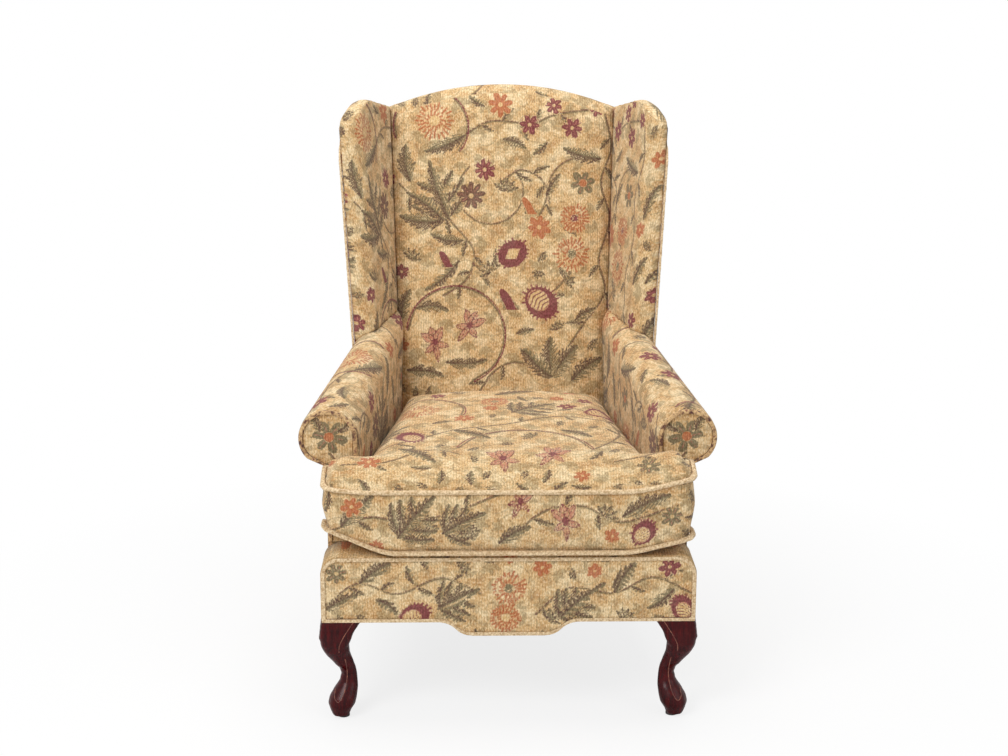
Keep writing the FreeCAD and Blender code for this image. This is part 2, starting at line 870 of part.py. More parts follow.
def front_leg():
    """Cabriole leg: square top block, knee, ankle and pad foot on one S-shaped line."""
    named = [
        ("(border_low - 4)", "leg_top_half", "0", 0.25),
        ("knee_level", "knee_half", "knee_reach", 0.4),
        ("ankle_level", "ankle_half", "ankle_reach", 0.85),
        ("foot_level", "foot_half", "foot_reach", 0.92),
        ("sole_level", "sole_half", "foot_reach", 0.92),
    ]
    body = new_body("front_leg_blank")
    sketches = []
    for level, half, reach, roundness in leg_stations(named, 3):
        points = eased_square(f"(leg_centre + {reach})", f"({LEG_Y} - {reach})", half, roundness)
        sketches.append(outline(body, "XY_Plane", level, points))
    loft = body.newObject("PartDesign::AdditiveLoft", "front_leg_shaft")
    loft.Profile = sketches[0]
    loft.Sections = sketches[1:]
    loft.Ruled = True
    block = body.newObject("PartDesign::Pad", "front_leg_block")
    block.Profile = sketches[0]
    bind(block, Length="rail_bottom - border_low + 4")
    return flat_sided("front_leg_blank", body)


def rear_leg():
    """Square tapered rear leg, swept back towards the floor."""
    sections = []
    for count in range(6):
        share = count / 5
        level = f"(rail_bottom + (sole_level - rail_bottom) * {share})"
        half = f"(rear_leg_top + (rear_leg_foot - rear_leg_top) * {share})"
        back = f"(rear_leg_rake * {round(share ** 1.4, 3)})"
        sections.append((level, eased_square("rear_leg_x", f"(rear_leg_y + {back})", half, 0.15)))
    return lofted("rear_leg_blank", "XY_Plane", sections)


def leg_bolt(name, x, y):
    """Hanger bolt through a corner block into a leg, with its nut."""
    shank = cylinder(f"{name}_shank", x, y, "bolt_low", "bolt_high", "bolt_radius")
    nut = doc.addObject("Part::Prism", f"{name}_nut")
    bind(nut, Circumradius="nut_radius", Height="nut_thick", Placement__Base__x=x, Placement__Base__y=y,
         Placement__Base__z="rail_bottom + block_thick")
    nut.Polygon = 6
    whole = doc.addObject("Part::Fuse", name)
    whole.Base = shank
    whole.Tool = nut
    return whole, shank


# Cushion
def cushion_points(level, front, tip, ear, side, rear, bend="cushion_corner"):
    """Outline of the T cushion at a height, drawn in by its own amount on each side."""
    ahead = f"(cushion_front + {front})"
    notch = f"(arm_front - 2 * welt_radius - ear_gap - {ear})"
    end = f"({back_face_at(level)} - back_crown - cushion_rear_gap - {rear})"
    tip_x = f"(ear_half - {tip})"

    def waist(place):
        return f"({arm_inner_at(place)} - cushion_side_gap - {side})"

    tuck = "cushion_tuck"
    right = [
        (f"{tip_x} - {bend}", ahead),
        (f"{tip_x} - 0.293 * {bend}", f"{ahead} + 0.293 * {bend}"),
        (tip_x, f"{ahead} + {bend}"),
        (tip_x, f"{notch} - {tuck}"),
        (f"{tip_x} - {tuck}", notch),
        (waist(notch), notch),
        (waist(end), f"{end} - {bend}"),
        (f"{waist(end)} - 0.293 * {bend}", f"{end} - 0.293 * {bend}"),
        (f"{waist(end)} - {bend}", end),
    ]
    left = [(f"-({point[0]})",) + point[1:] for point in reversed(right)]
    return [("0", ahead)] + right + left


SEAM = "(2 * welt_radius)"


def cushion_levels(label, levels):
    """A cushion lofted through T outlines, each with its height and its five drawn-in amounts."""
    sections = []
    for level, amounts in levels:
        bend = "cushion_corner" if amounts[0] == amounts[1] else "0.5 * cushion_corner"
        sections.append((level, cushion_points(level, *amounts, bend)))
    return lofted(label, "XY_Plane", sections)


def cushion_form():
    """The stuffed cushion: drawn in at both seams, bulging between them, crowned on top."""
    low, high = "cushion_low_seam", "cushion_high_seam"
    puff = f"({SEAM} - cushion_bulge)"
    return cushion_levels("cushion_form", [
        ("deck_top + cushion_gap", ("4 * welt_radius",) * 5),
        (f"{low} - welt_radius", (SEAM,) * 5),
        (f"{low} + welt_radius", (SEAM,) * 5),
        (f"({low} + {high}) / 2", (puff,) * 5),
        (f"{high} - welt_radius", (SEAM,) * 5),
        (f"{high} + welt_radius", (SEAM,) * 5),
        (f"{high} + 0.45 * cushion_crown", (20, 17, 9, 13, 14)),
        (f"{high} + 0.8 * cushion_crown", (36, 24, 9, 24, 26)),
        (f"{high} + cushion_crown", (52, 32, 9, 46, 60)),
    ])


def cushion_core():
    """The foam inside the cushion's cover."""
    inner = f"({SEAM} + cushion_wrap)"
    crown = tuple(f"({amount} + cushion_wrap)" for amount in (52, 32, 9, 46, 60))
    return cushion_levels("cushion_core", [
        ("deck_top + cushion_gap + cushion_wrap", ("4 * welt_radius + cushion_wrap",) * 5),
        ("cushion_low_seam + welt_radius", (inner,) * 5),
        ("cushion_high_seam + welt_radius", (inner,) * 5),
        ("cushion_high_seam + cushion_crown - cushion_wrap", crown),
    ])


def cushion_welt(label, level):
    """Welt sewn into a seam of the cushion: rounded outside, flat against the cover."""
    radius = "welt_radius"
    steps = [("-1", "0.7"), ("-0.4", "0"), ("0.4", "0"), ("1", "0.7")]
    sections = []
    for rise, edge in steps:
        at = f"({level} + {rise} * {radius})"
        sections.append((at, cushion_points(at, *[f"({edge} * {radius})"] * 5)))
    outer = lofted(f"{label}_cord", "XY_Plane", sections)
    ends = [f"({level} + {rise} * {radius})" for rise in (-1, 1)]
    inner = lofted(f"{label}_bed", "XY_Plane", [(at, cushion_points(at, *[SEAM] * 5)) for at in ends])
    return without(label, outer, inner)


def arm_welt():
    """Welt round the front of the arm, from the deck over the roll and down again."""
    steps = [("0", "0"), ("-1.4", "0"), ("-2", "0.7")]
    sections = []
    for ahead, edge in steps:
        at = f"(arm_front + {ahead} * welt_radius)"
        sections.append((f"-{at}", arm_points("front", "arm_front", f"({edge} * welt_radius)", "border_top")))
    outer = lofted("arm_welt_cord", "XZ_Plane", sections)
    inside = arm_front_piece("arm_welt_bed", "arm_front - 2 * welt_radius", "2 * welt_radius", SEAM, "border_low")
    return without("arm_welt_ring", outer, inside)


def wing_band(profile_outer, profile_inner):
    """Welt along the outer front edge and the top of the wing, on the outside panel."""
    sections = []
    for level in ("wing_low", "wing_top"):
        at = wing_place(level, "0")
        sections.append((level, [
            (at["outer"], f"{at['front']} - welt_radius"),
            (at["outer"], at["front"]),
            (at["corner"], at["rear"]),
            (f"{at['corner']} + 1.4 * welt_radius", at["rear"]),
            (f"{at['outer']} + 1.4 * welt_radius", f"{at['front']} - welt_radius"),
        ]))
    slab = lofted("wing_welt_slab", "XY_Plane", sections)
    return without("wing_welt_band", shared("wing_welt_edge", slab, profile_outer), profile_inner)


def zip_slider(label):
    """Slider of the cushion's zip, just behind its chain."""
    depth = f"({back_face_at('zip_level')} - back_crown - cushion_rear_gap - {SEAM} + cushion_bulge + 1)"
    corner = ("-zip_length / 2 + zip_end", f"{depth} + cushion_gap", "zip_level - zip_slider_high / 2")
    return box(label, corner, ("zip_slider_long", "zip_slider_deep", "zip_slider_high"))


# Seat frame and what is under it
rail_side = side_rail()
rail_twin = mirrored("side_rail_twin", rail_side)
border_outer = border_form("border_outer", "0", "border_low")
border_inner = border_form("border_inner", "skin", "(border_low - skin)")
front_border_cover = keep("front_border_cover", without("front_border_cover", border_outer, border_inner))
keep("front_rail", front_rail([rail_side, rail_twin]))
behind_back = rake(box("behind_back", ("-900", "back_padding", "-900"), ("1800", "900", "1800")))
behind_chair = rake(box("behind_chair", ("-900", "back_depth", "-900"), ("1800", "900", "1800")))
for item, depth in ((behind_back, "back_padding"), (behind_chair, "back_depth")):
    bind(item, Placement__Base__x="-900",
         Placement__Base__y=f"back_y + {depth} * cos(back_rake * 1 deg) - 900 * sin(back_rake * 1 deg)",
         Placement__Base__z=f"back_z - {depth} * sin(back_rake * 1 deg) - 900 * cos(back_rake * 1 deg)")
keep_pair("side_rail", without("side_rail_cut", rail_side, behind_back, front_border_cover))
keep("back_rail", slab("back_rail", POST_INNER, "back_rail_low", "back_rail_low + back_rail_high",
                       "back_rail_front", "board"))
keep("lower_back_rail", slab("lower_back_rail", POST_INNER, "lumbar_low", "lumbar_low + lumbar_high",
                             "back_padding", "board"))
crest = keep("crest_rail", crest_rail())
keep_pair("back_post", back_post(crest))

# Legs, blocks and bolts
front_bolt, front_shank = leg_bolt("front_bolt", "leg_centre - bolt_inset", f"{LEG_Y} + bolt_inset")
rear_bolt, rear_shank = leg_bolt("rear_bolt", "rear_leg_x - rear_bolt_inset", "rear_leg_y - rear_bolt_inset")
front_block = without("front_block_bored", corner_block("front_block", "(front_y + skin + board)", "+"), front_shank)
rear_block = without("rear_block_bored", corner_block("rear_block", "(rear_leg_y + 8)", "-"), rear_shank)
keep_pair("front_leg", without("front_leg_bored", front_leg(), front_shank))
keep_pair("rear_leg", without("rear_leg_bored", rear_leg(), rear_shank))
fixed = [front_bolt, rear_bolt]
keep("leg_bolts", group("leg_bolts", fixed + [mirrored(f"{item.Name}_twin", item) for item in fixed]))
blocks = [front_block, rear_block]
keep("corner_blocks", group("corner_blocks", blocks + [mirrored(f"{item.Name}_twin", item) for item in blocks]))
glides = [
    cylinder("front_glide", "leg_centre + foot_reach", f"{LEG_Y} - foot_reach", "0", "sole_level", "glide_radius"),
    cylinder("rear_glide", "rear_leg_x", "rear_leg_y + rear_leg_rake", "0", "sole_level", "glide_radius"),
]
keep("foot_glides", group("foot_glides", glides + [mirrored(f"{item.Name}_twin", item) for item in glides]))

# Springs, deck and base cloth
springs, clips = seat_springs()
keep("seat_springs", springs)
keep("spring_clips", clips)
keep("deck_pad", deck("deck_pad", f"({RAIL_TOP} + spring_rise + spring_wire / 2 + cushion_gap)",
                      f"deck_top - skin - {RAIL_TOP} - spring_rise - spring_wire / 2 - cushion_gap"))
keep("deck_cover", deck("deck_cover", "(deck_top - skin)", "skin"))
cloth_front, cloth_rear = "(front_y + skin + board)", "base_cloth_rear"
cloth = padded("base_cloth_sheet", "XY_Plane", "rail_bottom - base_cloth", "base_cloth", [
    (f"-({side_at(cloth_front)} - skin)", cloth_front),
    (f"{side_at(cloth_front)} - skin", cloth_front),
    (f"{side_at(cloth_rear)} - skin", cloth_rear),
    (f"-({side_at(cloth_rear)} - skin)", cloth_rear),
])
notches = []
for name, x, y, half in (("front_notch", "leg_centre", LEG_Y, "leg_top_half"),
                         ("rear_notch", "rear_leg_x", "rear_leg_y", "rear_leg_top")):
    notch = box(name, (f"{x} - {half} - 1", f"{y} - {half} - 1", "border_low"),
                (f"side_half - {x} + {half}", f"2 * {half} + 2", "rail_bottom"))
    notches += [notch, mirrored(f"{name}_twin", notch)]
keep("base_cloth", without("base_cloth", cloth, *notches))

# Front border
CLIP_TOP = "(rail_bottom + rail_height + spring_rise + spring_wire)"
above_rail = box("above_rail", ("-900", "front_y", f"{CLIP_TOP} + cushion_gap"), ("1800", "arm_front - front_y", "900"))
keep("front_edge_pad", shared("front_edge_pad", border_inner, above_rail))
welt_points = drop_points("side_half", "(border_low - welt_radius)", "border_top", "border_corner")
welt_bed_points = drop_points(f"(side_half - {SEAM})", "(border_low + welt_radius)", f"(border_top - {SEAM})",
                              f"(border_corner - {SEAM})")
border_cord = padded("border_cord", "XZ_Plane", "-(front_y - welt_radius)", "welt_radius", welt_points, reverse=True)
border_bed = padded("border_bed", "XZ_Plane", "-(front_y - welt_radius)", "welt_radius", welt_bed_points, reverse=True)
keep("front_border_welt", without("front_border_welt", border_cord, border_bed))

# Back upholstery
back_form = inside_back_form("back_form", "0")
back_inner = inside_back_form("back_inner", "skin")
band_depth = "back_depth - back_padding - skin"
band_outer = raked_board("band_outer", "back_padding", band_depth,
                         arch_points("rear_half", "rear_half", "back_foot", "0"))
band_inner = raked_board("band_inner", "back_padding", band_depth,
                         arch_points("rear_half", "rear_half", "back_foot - back_crest", "skin"))
band = without("back_top_band", band_outer, band_inner)
inside_cover = doc.addObject("Part::Fuse", "inside_back_cover")
inside_cover.Base = without("inside_back_shell", back_form, back_inner)
inside_cover.Tool = band
keep("inside_back_cover", inside_cover)
keep("back_webbing", back_webbing())
keep("back_pad", back_inner)
outside_back = raked_board("outside_back_sheet", "back_depth - skin", "skin",
                           arch_points("rear_half_low", "rear_half", "-back_z", "0"))
back_sheet = keep("outside_back_cover", below(outside_back, "border_low"))

# Arms
arm_outer = without("arm_outer", arm_form("arm_outer_form", "0", RAIL_TOP), behind_back, back_form)
arm_lining = arm_form("arm_lining", "skin", f"({RAIL_TOP} - skin)")
arm_panel_blank = outside_arm_panel()
arm_panel = without("arm_panel", arm_panel_blank, behind_chair, outside_back)
keep_pair("outside_arm_cover", arm_panel)
arm_board = arm_front_piece("arm_post_board", "arm_front", "arm_post_thick", "skin", RAIL_TOP)
arm_post = keep_pair("arm_post", shared("arm_post", arm_board, arm_lining))
arm_bar = without("arm_rail", arm_rail(), behind_back, back_form)
wing_lining = wing_form("wing_lining", "skin")
wing_upright = without("wing_post", shared("wing_post_shaped", wing_post(), wing_lining), arm_bar, arm_panel)
keep_pair("inside_arm_cover", without("inside_arm_cover", arm_outer, arm_lining, arm_panel_blank, wing_upright))
tack_bar = without("arm_tack_rail", arm_tack_rail(), behind_back)
keep_pair("arm_rail", arm_bar)
keep_pair("arm_tack_rail", tack_bar)
keep_pair("arm_front_panel", arm_front_piece("arm_front_cloth", "arm_front - skin", "skin", SEAM, "border_top"))
keep_pair("arm_front_welt", arm_welt())

# Wings
wing_side = wing_profile("wing_side", "0")
wing_outside_blank = outside_wing_panel(wing_side)
wing_outside = without("wing_outside", wing_outside_blank, arm_outer, arm_panel, outside_back, inside_cover)
keep_pair("outside_wing_cover", wing_outside)
wing_outer = wing_form("wing_outer", "0")
wing_bar = without("wing_top_rail", shared("wing_rail_shaped", wing_top_rail(), wing_lining), behind_back)
keep_pair("wing_post", wing_upright)
keep_pair("wing_top_rail", wing_bar)
wing_inside = without("wing_inside", wing_outer, wing_lining, wing_outside_blank, arm_outer, back_form)
keep_pair("inside_wing_cover", below(wing_inside, "wing_low + 2 * skin"))
keep_pair("wing_pad", without("wing_pad", wing_lining, wing_outside_blank, arm_outer, back_form, wing_upright,
                              wing_bar))
keep_pair("arm_pad", without("arm_pad", arm_outer, SUBPARTS["inside_arm_cover_right"], arm_panel_blank, arm_cavity(),
                             arm_post, arm_bar, tack_bar, wing_upright))
wing_edges = [wing_profile(f"wing_edge_{side}", f"({side} * welt_radius)", ahead="0", drop="wing_shoulder_fall")
              for side in (-1, 1)]
wing_welt = wing_band(*wing_edges)
keep_pair("wing_welt", without("wing_welt", wing_welt, arm_outer, behind_back))

# Cushion
stuffed = cushion_form()
core = keep("cushion_core", cushion_core())
chain_slot = box("chain_slot", ("-zip_length / 2", "0", "zip_level - zip_height / 2"),
                 ("zip_length", "back_z", "zip_height"))
shell = without("cushion_shell", stuffed, core)
keep("cushion_zip", shared("cushion_zip", shell, chain_slot))
keep("cushion_cover", without("cushion_cover", shell, chain_slot))
seam_welts = [cushion_welt("low_welt", "cushion_low_seam"), cushion_welt("high_welt", "cushion_high_seam")]
keep("cushion_welts", group("cushion_welts", seam_welts))
keep("zip_slider", zip_slider("zip_slider"))

doc.recompute()

for item in doc.Objects:
    if "Invalid" in item.State or "Error" in item.State:
        raise RuntimeError(f"{item.Label} could not be made")
for label, item in SUBPARTS.items():
    if item.Shape.isNull() or not item.Shape.isValid() or not item.Shape.Solids:
        raise RuntimeError(f"{label} has no sound solid")

os.makedirs("parts", exist_ok=True)
for label, item in SUBPARTS.items():
    item.Shape.exportStep(f"parts/{label}.step")
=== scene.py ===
"""A wingback armchair covered in a woven floral tapestry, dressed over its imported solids. Metres, +Z up."""
import json
from math import cos, pi, radians, sin

import bmesh
import bpy
import numpy as np
from mathutils import Matrix, Vector
from mathutils.bvhtree import BVHTree

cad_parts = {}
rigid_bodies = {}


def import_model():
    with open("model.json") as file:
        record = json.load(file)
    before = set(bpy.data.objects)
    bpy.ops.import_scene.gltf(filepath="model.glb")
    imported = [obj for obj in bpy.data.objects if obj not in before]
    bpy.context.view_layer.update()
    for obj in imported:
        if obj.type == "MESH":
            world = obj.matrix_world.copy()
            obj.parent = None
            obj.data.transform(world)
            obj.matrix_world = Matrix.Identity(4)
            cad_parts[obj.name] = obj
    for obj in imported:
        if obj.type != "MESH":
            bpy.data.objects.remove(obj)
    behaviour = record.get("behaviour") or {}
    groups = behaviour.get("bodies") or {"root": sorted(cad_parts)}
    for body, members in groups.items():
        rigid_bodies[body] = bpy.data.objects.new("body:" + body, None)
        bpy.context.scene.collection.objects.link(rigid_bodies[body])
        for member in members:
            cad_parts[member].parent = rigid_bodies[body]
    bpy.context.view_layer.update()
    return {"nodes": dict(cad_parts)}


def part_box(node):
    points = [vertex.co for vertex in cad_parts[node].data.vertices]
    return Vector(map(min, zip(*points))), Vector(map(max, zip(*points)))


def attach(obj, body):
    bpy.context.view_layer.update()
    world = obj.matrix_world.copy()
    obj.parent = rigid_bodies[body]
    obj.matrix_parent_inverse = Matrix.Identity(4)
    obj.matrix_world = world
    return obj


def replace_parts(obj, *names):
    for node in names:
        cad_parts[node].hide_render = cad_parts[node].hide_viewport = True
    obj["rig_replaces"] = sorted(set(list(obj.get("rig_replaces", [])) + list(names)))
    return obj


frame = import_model()

# Camera: fitted once, outside this script, to corners of the chair seen in the photograph.
CAMERA_PLACE = Vector((-0.0742, -3.4476, 1.417))
CAMERA_PITCH = 0.2454
CAMERA_YAW = 0.0211
CAMERA_ROLL = 0.0027
LENS_MM = 64.29

# The raked back's plane, and where the arms' rolls begin and end.
BACK_Z = 0.5
BACK_RAKE = radians(15)
ARM_FRONT = -0.303
ARM_REAR = 0.238
# The arm's roll at its front, and what it gains by its rear: centre across, centre height, radius.
ROLL_X = (0.327, -0.09)
ROLL_Z = (0.518, 0.105)
ROLL_RADIUS = (0.054, -0.02)

MM = 0.001
SIDES = (("right", 1), ("left", -1))

# The grids of the closed skins, in metres, and the rounds of relaxing that take off the grids' steps.
SOFT_VOXEL = 0.005
DECK_VOXEL = 0.009
EDGE_ROLL_VOXEL = 0.006
LEG_VOXEL = 0.004
WELT_VOXEL = 0.0018
BORDER_WELT_VOXEL = 0.0015
SOFT_ROUNDS = 5
LEG_ROUNDS = 9

# How far a cover stands above the rails and pads beneath it, and how far a hidden pad may sink below its own.
COVER_PROUD = 0.8 * MM
PAD_PROUD = -0.4 * MM

# The distance between the points that carry the figures on each flat cover, in metres.
SIDE_STEP = 0.0035
FACING_STEP = 0.0022
BACK_STEP = 0.0045
BORDER_STEP = 0.0028

# The cushion, in metres: the heights of its two welts and of its top, its front's place, how far its worn lower
# corners and its crown rise, its blowing-out, and how far the zip lies proud of its rear band.
LOW_SEAM = 0.338
HIGH_SEAM = 0.445
RIGHT_EAR_RAISE = 0.01
SEAT_TOP = 0.49
BAND_FRONT = -0.39
CURL_LEFT = 0.046
CURL_RIGHT = 0.026
CROWN_RISE = 0.014
SWELL_PRESSURE = 1.0
SWELL_CAP = 0.006
SWELL_STEPS = 20
ZIP_PROUD = 0.0035


# Colours and node helpers

def linear(code):
    """An sRGB hex colour as the linear RGBA that the shaders take."""
    parts = [int(code[i:i + 2], 16) / 255 for i in (1, 3, 5)]
    return [c / 12.92 if c <= 0.04045 else ((c + 0.055) / 1.055) ** 2.4 for c in parts] + [1.0]


def add(tree, kind, inputs=None, **settings):
    """A node with its settings, whose inputs are values or other nodes' outputs."""
    node = tree.nodes.new(kind)
    for key, value in settings.items():
        setattr(node, key, value)
    for key, value in (inputs or {}).items():
        if isinstance(value, bpy.types.NodeSocket):
            tree.links.new(value, node.inputs[key])
        else:
            node.inputs[key].default_value = value
    return node


def new_material(name, **sockets):
    """A named material with its own shader, and the values set on that shader."""
    material = bpy.data.materials.new(name)
    material.use_nodes = True
    tree = material.node_tree
    shader = tree.nodes["Principled BSDF"]
    for key, value in sockets.items():
        shader.inputs[key.replace("_", " ")].default_value = value
    return material, tree, shader


def ramp(tree, source, stops):
    """A colour ramp over source, with its stops as (position, hex)."""
    node = add(tree, "ShaderNodeValToRGB", {"Fac": source})
    while len(node.color_ramp.elements) < len(stops):
        node.color_ramp.elements.new(0.5)
    for element, (position, code) in zip(node.color_ramp.elements, stops):
        element.position = position
        element.color = linear(code)
    return node.outputs["Color"]


def noise(tree, size_mm, detail, stretch=(1, 1, 1), vector=None):
    """Noise whose lumps are about size_mm across, in the object's own place."""
    source = vector or add(tree, "ShaderNodeTexCoord").outputs["Object"]
    scaled = add(tree, "ShaderNodeMapping", {"Vector": source, "Scale": stretch})
    node = add(
        tree,
        "ShaderNodeTexNoise",
        {"Vector": scaled.outputs["Vector"], "Scale": 1000.0 / size_mm, "Detail": detail, "Roughness": 0.6},
    )
    return node.outputs["Fac"]


def blend_colour(tree, amount, under, over):
    """over laid on under by amount."""
    node = add(tree, "ShaderNodeMix", {"Factor": amount}, data_type="RGBA")
    for socket, value in ((node.inputs[6], under), (node.inputs[7], over)):
        if isinstance(value, bpy.types.NodeSocket):
            tree.links.new(value, socket)
        else:
            socket.default_value = linear(value)
    return node.outputs[2]


def arithmetic(tree, operation, first, second, third=None):
    """A plain sum, product or other arithmetic on two or three values."""
    node = add(tree, "ShaderNodeMath", operation=operation)
    for socket, value in zip(node.inputs, (first, second, third)):
        if isinstance(value, bpy.types.NodeSocket):
            tree.links.new(value, socket)
        elif value is not None:
            socket.default_value = value
    return node.outputs[0]


def bump(tree, shader, height, strength, distance):
    """Relief from height, distance metres deep."""
    node = add(tree, "ShaderNodeBump", {"Height": height, "Strength": strength, "Distance": distance})
    tree.links.new(node.outputs["Normal"], shader.inputs["Normal"])


# Materials

# The ground's tones: straw patches, its paler and darker threads, and the weave's shadows.
GROUND_PATCHES = ((0.34, "#BC884E"), (0.47, "#DAB27A"), (0.6, "#F4DDB0"))
GROUND_STREAKS = ((0.35, "#7C5A37"), (0.5, "#D9B37F"), (0.63, "#FFEFCC"))
GROUND_SHARE = 0.46
GROUND_SHADOW = "#86704F"
RIB_PITCH_MM = 5.0

# The colours of the woven figures, from the under layer to the top one.
# Each row: name, dark thread, light thread, and how far it covers what is under it.
FIGURE_COLOURS = (
    ("ghost", "#7D6A48", "#B09A70", 0.55),
    ("vine", "#5C4E39", "#8C7A58", 0.88),
    ("edge", "#54242E", "#834C4B", 0.88),
    ("leaf", "#554D3A", "#8C8060", 0.88),
    ("vein", "#45252B", "#704A42", 0.86),
    ("rust", "#A04A2C", "#C5774A", 0.86),
    ("wine", "#56102B", "#8C2F47", 0.88),
    ("pink", "#B26A5B", "#D4987C", 0.84),
    ("gold", "#CFA468", "#EDD3A2", 0.84),
)


def tapestry():
    """Chenille tapestry: short soft pile in ribs with painted shade in their furrows, mottled straw ground,
    figures with ragged woven edges.
    """
    material, tree, shader = new_material(
        "woven_floral_tapestry", Roughness=0.95, Specular_IOR_Level=0.12, Sheen_Weight=0.12, Sheen_Roughness=0.6
    )
    across = add(tree, "ShaderNodeAttribute", attribute_name="across_cloth").outputs["Fac"]
    along = add(tree, "ShaderNodeAttribute", attribute_name="along_cloth").outputs["Fac"]
    cloth = add(tree, "ShaderNodeCombineXYZ", {"X": across, "Y": along}).outputs["Vector"]
    patches = noise(tree, 38, 6.0, vector=cloth)
    shadows = noise(tree, 17, 5.0, vector=cloth)
    streaks = noise(tree, 2.7, 3.0, (1, 0.55, 1), cloth)
    threads = noise(tree, 2.6, 2.0, (1, 0.6, 1), cloth)
    turns = arithmetic(tree, "MULTIPLY", across, 2 * pi / (RIB_PITCH_MM * MM))
    ribs = arithmetic(tree, "SINE", turns, 0.0)
    ground = ramp(tree, patches, GROUND_PATCHES)
    pale = ramp(tree, streaks, GROUND_STREAKS)
    colour = blend_colour(tree, GROUND_SHARE, ground, pale)
    dusk = add(
        tree, "ShaderNodeMapRange", {"Value": shadows, "From Min": 0.5, "From Max": 0.66, "To Max": 0.5}
    ).outputs["Result"]
    colour = blend_colour(tree, dusk, colour, GROUND_SHADOW)
    ragged = arithmetic(tree, "MULTIPLY_ADD", threads, 4.6, -2.3)
    for name, dark, light, cover in FIGURE_COLOURS:
        distance = add(tree, "ShaderNodeAttribute", attribute_name=name).outputs["Fac"]
        worn = arithmetic(tree, "ADD", distance, ragged)
        inside = add(
            tree,
            "ShaderNodeMapRange",
            {"Value": worn, "From Min": -0.7, "From Max": 0.9, "To Min": 0.0, "To Max": cover},
        ).outputs["Result"]
        thread_colour = ramp(tree, streaks, ((0.36, dark), (0.66, light)))
        colour = blend_colour(tree, inside, colour, thread_colour)
    # Painted shade: the rib furrows, where the bump below sinks the pile, are darkened towards dark brown.
    furrow_shade = add(
        tree, "ShaderNodeMapRange", {"Value": ribs, "From Min": 0.2, "From Max": 1.0, "To Max": 0.22}
    ).outputs["Result"]
    colour = blend_colour(tree, furrow_shade, colour, "#6B5136")
    tree.links.new(colour, shader.inputs["Base Color"])
    relief = arithmetic(tree, "MULTIPLY_ADD", ribs, -0.25, arithmetic(tree, "ADD", streaks, threads))
    bump(tree, shader, relief, 0.6, 0.0014)
    return material


def plain_cloth(name, dark, light, size_mm, depth, **sockets):
    """A woven cloth of one colour, with its threads as coarse as the render can show."""
    material, tree, shader = new_material(name, Roughness=0.92, Specular_IOR_Level=0.2, **sockets)
    threads = noise(tree, size_mm, 2.0)
    tree.links.new(ramp(tree, threads, ((0.3, dark), (0.7, light))), shader.inputs["Base Color"])
    bump(tree, shader, threads, 0.6, depth)
    return material


def dark_welt_cloth():
    """The arm fronts' welt: tapestry cut on the bias, so its dark figures cross it in short flecks."""
    material, tree, shader = new_material(
        "bias_cut_tapestry_welt", Roughness=0.92, Specular_IOR_Level=0.2, Sheen_Weight=0.15
    )
    flecks = noise(tree, 9, 3.0)
    threads = noise(tree, 2.2, 1.0)
    cloth = ramp(tree, flecks, ((0.36, "#5A3B36"), (0.46, "#A88560"), (0.57, "#D9B785"), (0.68, "#7C4A40")))
    tree.links.new(cloth, shader.inputs["Base Color"])
    bump(tree, shader, threads, 0.6, 0.0008)
    return material


def polished_mahogany():
    """Mahogany with a dark red french polish: glossy, the grain running down the leg."""
    material, tree, shader = new_material(
        "polished_mahogany",
        Roughness=0.27,
        IOR=1.5,
        Specular_IOR_Level=0.16,
        Coat_Weight=0.04,
        Coat_Roughness=0.15,
    )
    grain = noise(tree, 5, 5.0, (1, 1, 0.08))
    wear = noise(tree, 22, 3.0)
    wood = ramp(tree, grain, ((0.3, "#230204"), (0.55, "#420508"), (0.8, "#5E0B0D")))
    worn = add(
        tree, "ShaderNodeMapRange", {"Value": wear, "From Min": 0.56, "From Max": 0.8, "To Max": 0.3}
    ).outputs["Result"]
    tree.links.new(blend_colour(tree, worn, wood, "#642A20"), shader.inputs["Base Color"])
    bump(tree, shader, grain, 0.15, 0.0004)
    return material


def pale_line_finish():
    """The carved lines on the legs: mahogany a paler red-brown than the leg's polish, in uneven patches."""
    material, tree, shader = new_material("rubbed_mahogany_edge", Roughness=0.4, IOR=1.5)
    mottling = noise(tree, 6, 3.0)
    tree.links.new(ramp(tree, mottling, ((0.35, "#4A1512"), (0.65, "#90543F"))), shader.inputs["Base Color"])
    return material


def sawn_beech():
    """Plain beech as it comes from the saw: pale, fine short grain, no finish."""
    material, tree, shader = new_material("sawn_beech", Roughness=0.72)
    grain = noise(tree, 7, 5.0, (0.25, 0.25, 1.6))
    tree.links.new(
        ramp(tree, grain, ((0.3, "#A97C52"), (0.55, "#C79A6C"), (0.8, "#D9B389"))), shader.inputs["Base Color"]
    )
    bump(tree, shader, grain, 0.25, 0.0005)
    return material


def plated_steel():
    """Zinc-plated steel wire and plate: bright grey with a dull bloom."""
    material, tree, shader = new_material("zinc_plated_steel", Metallic=1.0, Roughness=0.36)
    bloom = noise(tree, 12, 3.0)
    tree.links.new(ramp(tree, bloom, ((0.3, "#8E9296"), (0.7, "#B9BCBE"))), shader.inputs["Base Color"])
    return material


def moulded_nylon():
    """Moulded nylon glide: dark grey, faintly scuffed."""
    material, tree, shader = new_material("moulded_nylon", Roughness=0.5, IOR=1.53)
    scuffs = noise(tree, 3, 3.0)
    tree.links.new(ramp(tree, scuffs, ((0.35, "#2A2726"), (0.75, "#46413E"))), shader.inputs["Base Color"])
    bump(tree, shader, scuffs, 0.2, 0.0002)
    return material


def drawn_brass():
    """Brass of the zip's slider: yellow metal, tarnished in the hollows."""
    material, tree, shader = new_material("drawn_brass", Metallic=1.0, Roughness=0.32)
    tarnish = noise(tree, 4, 3.0)
    tree.links.new(ramp(tree, tarnish, ((0.3, "#8C6A34"), (0.7, "#C9A45A"))), shader.inputs["Base Color"])
    return material


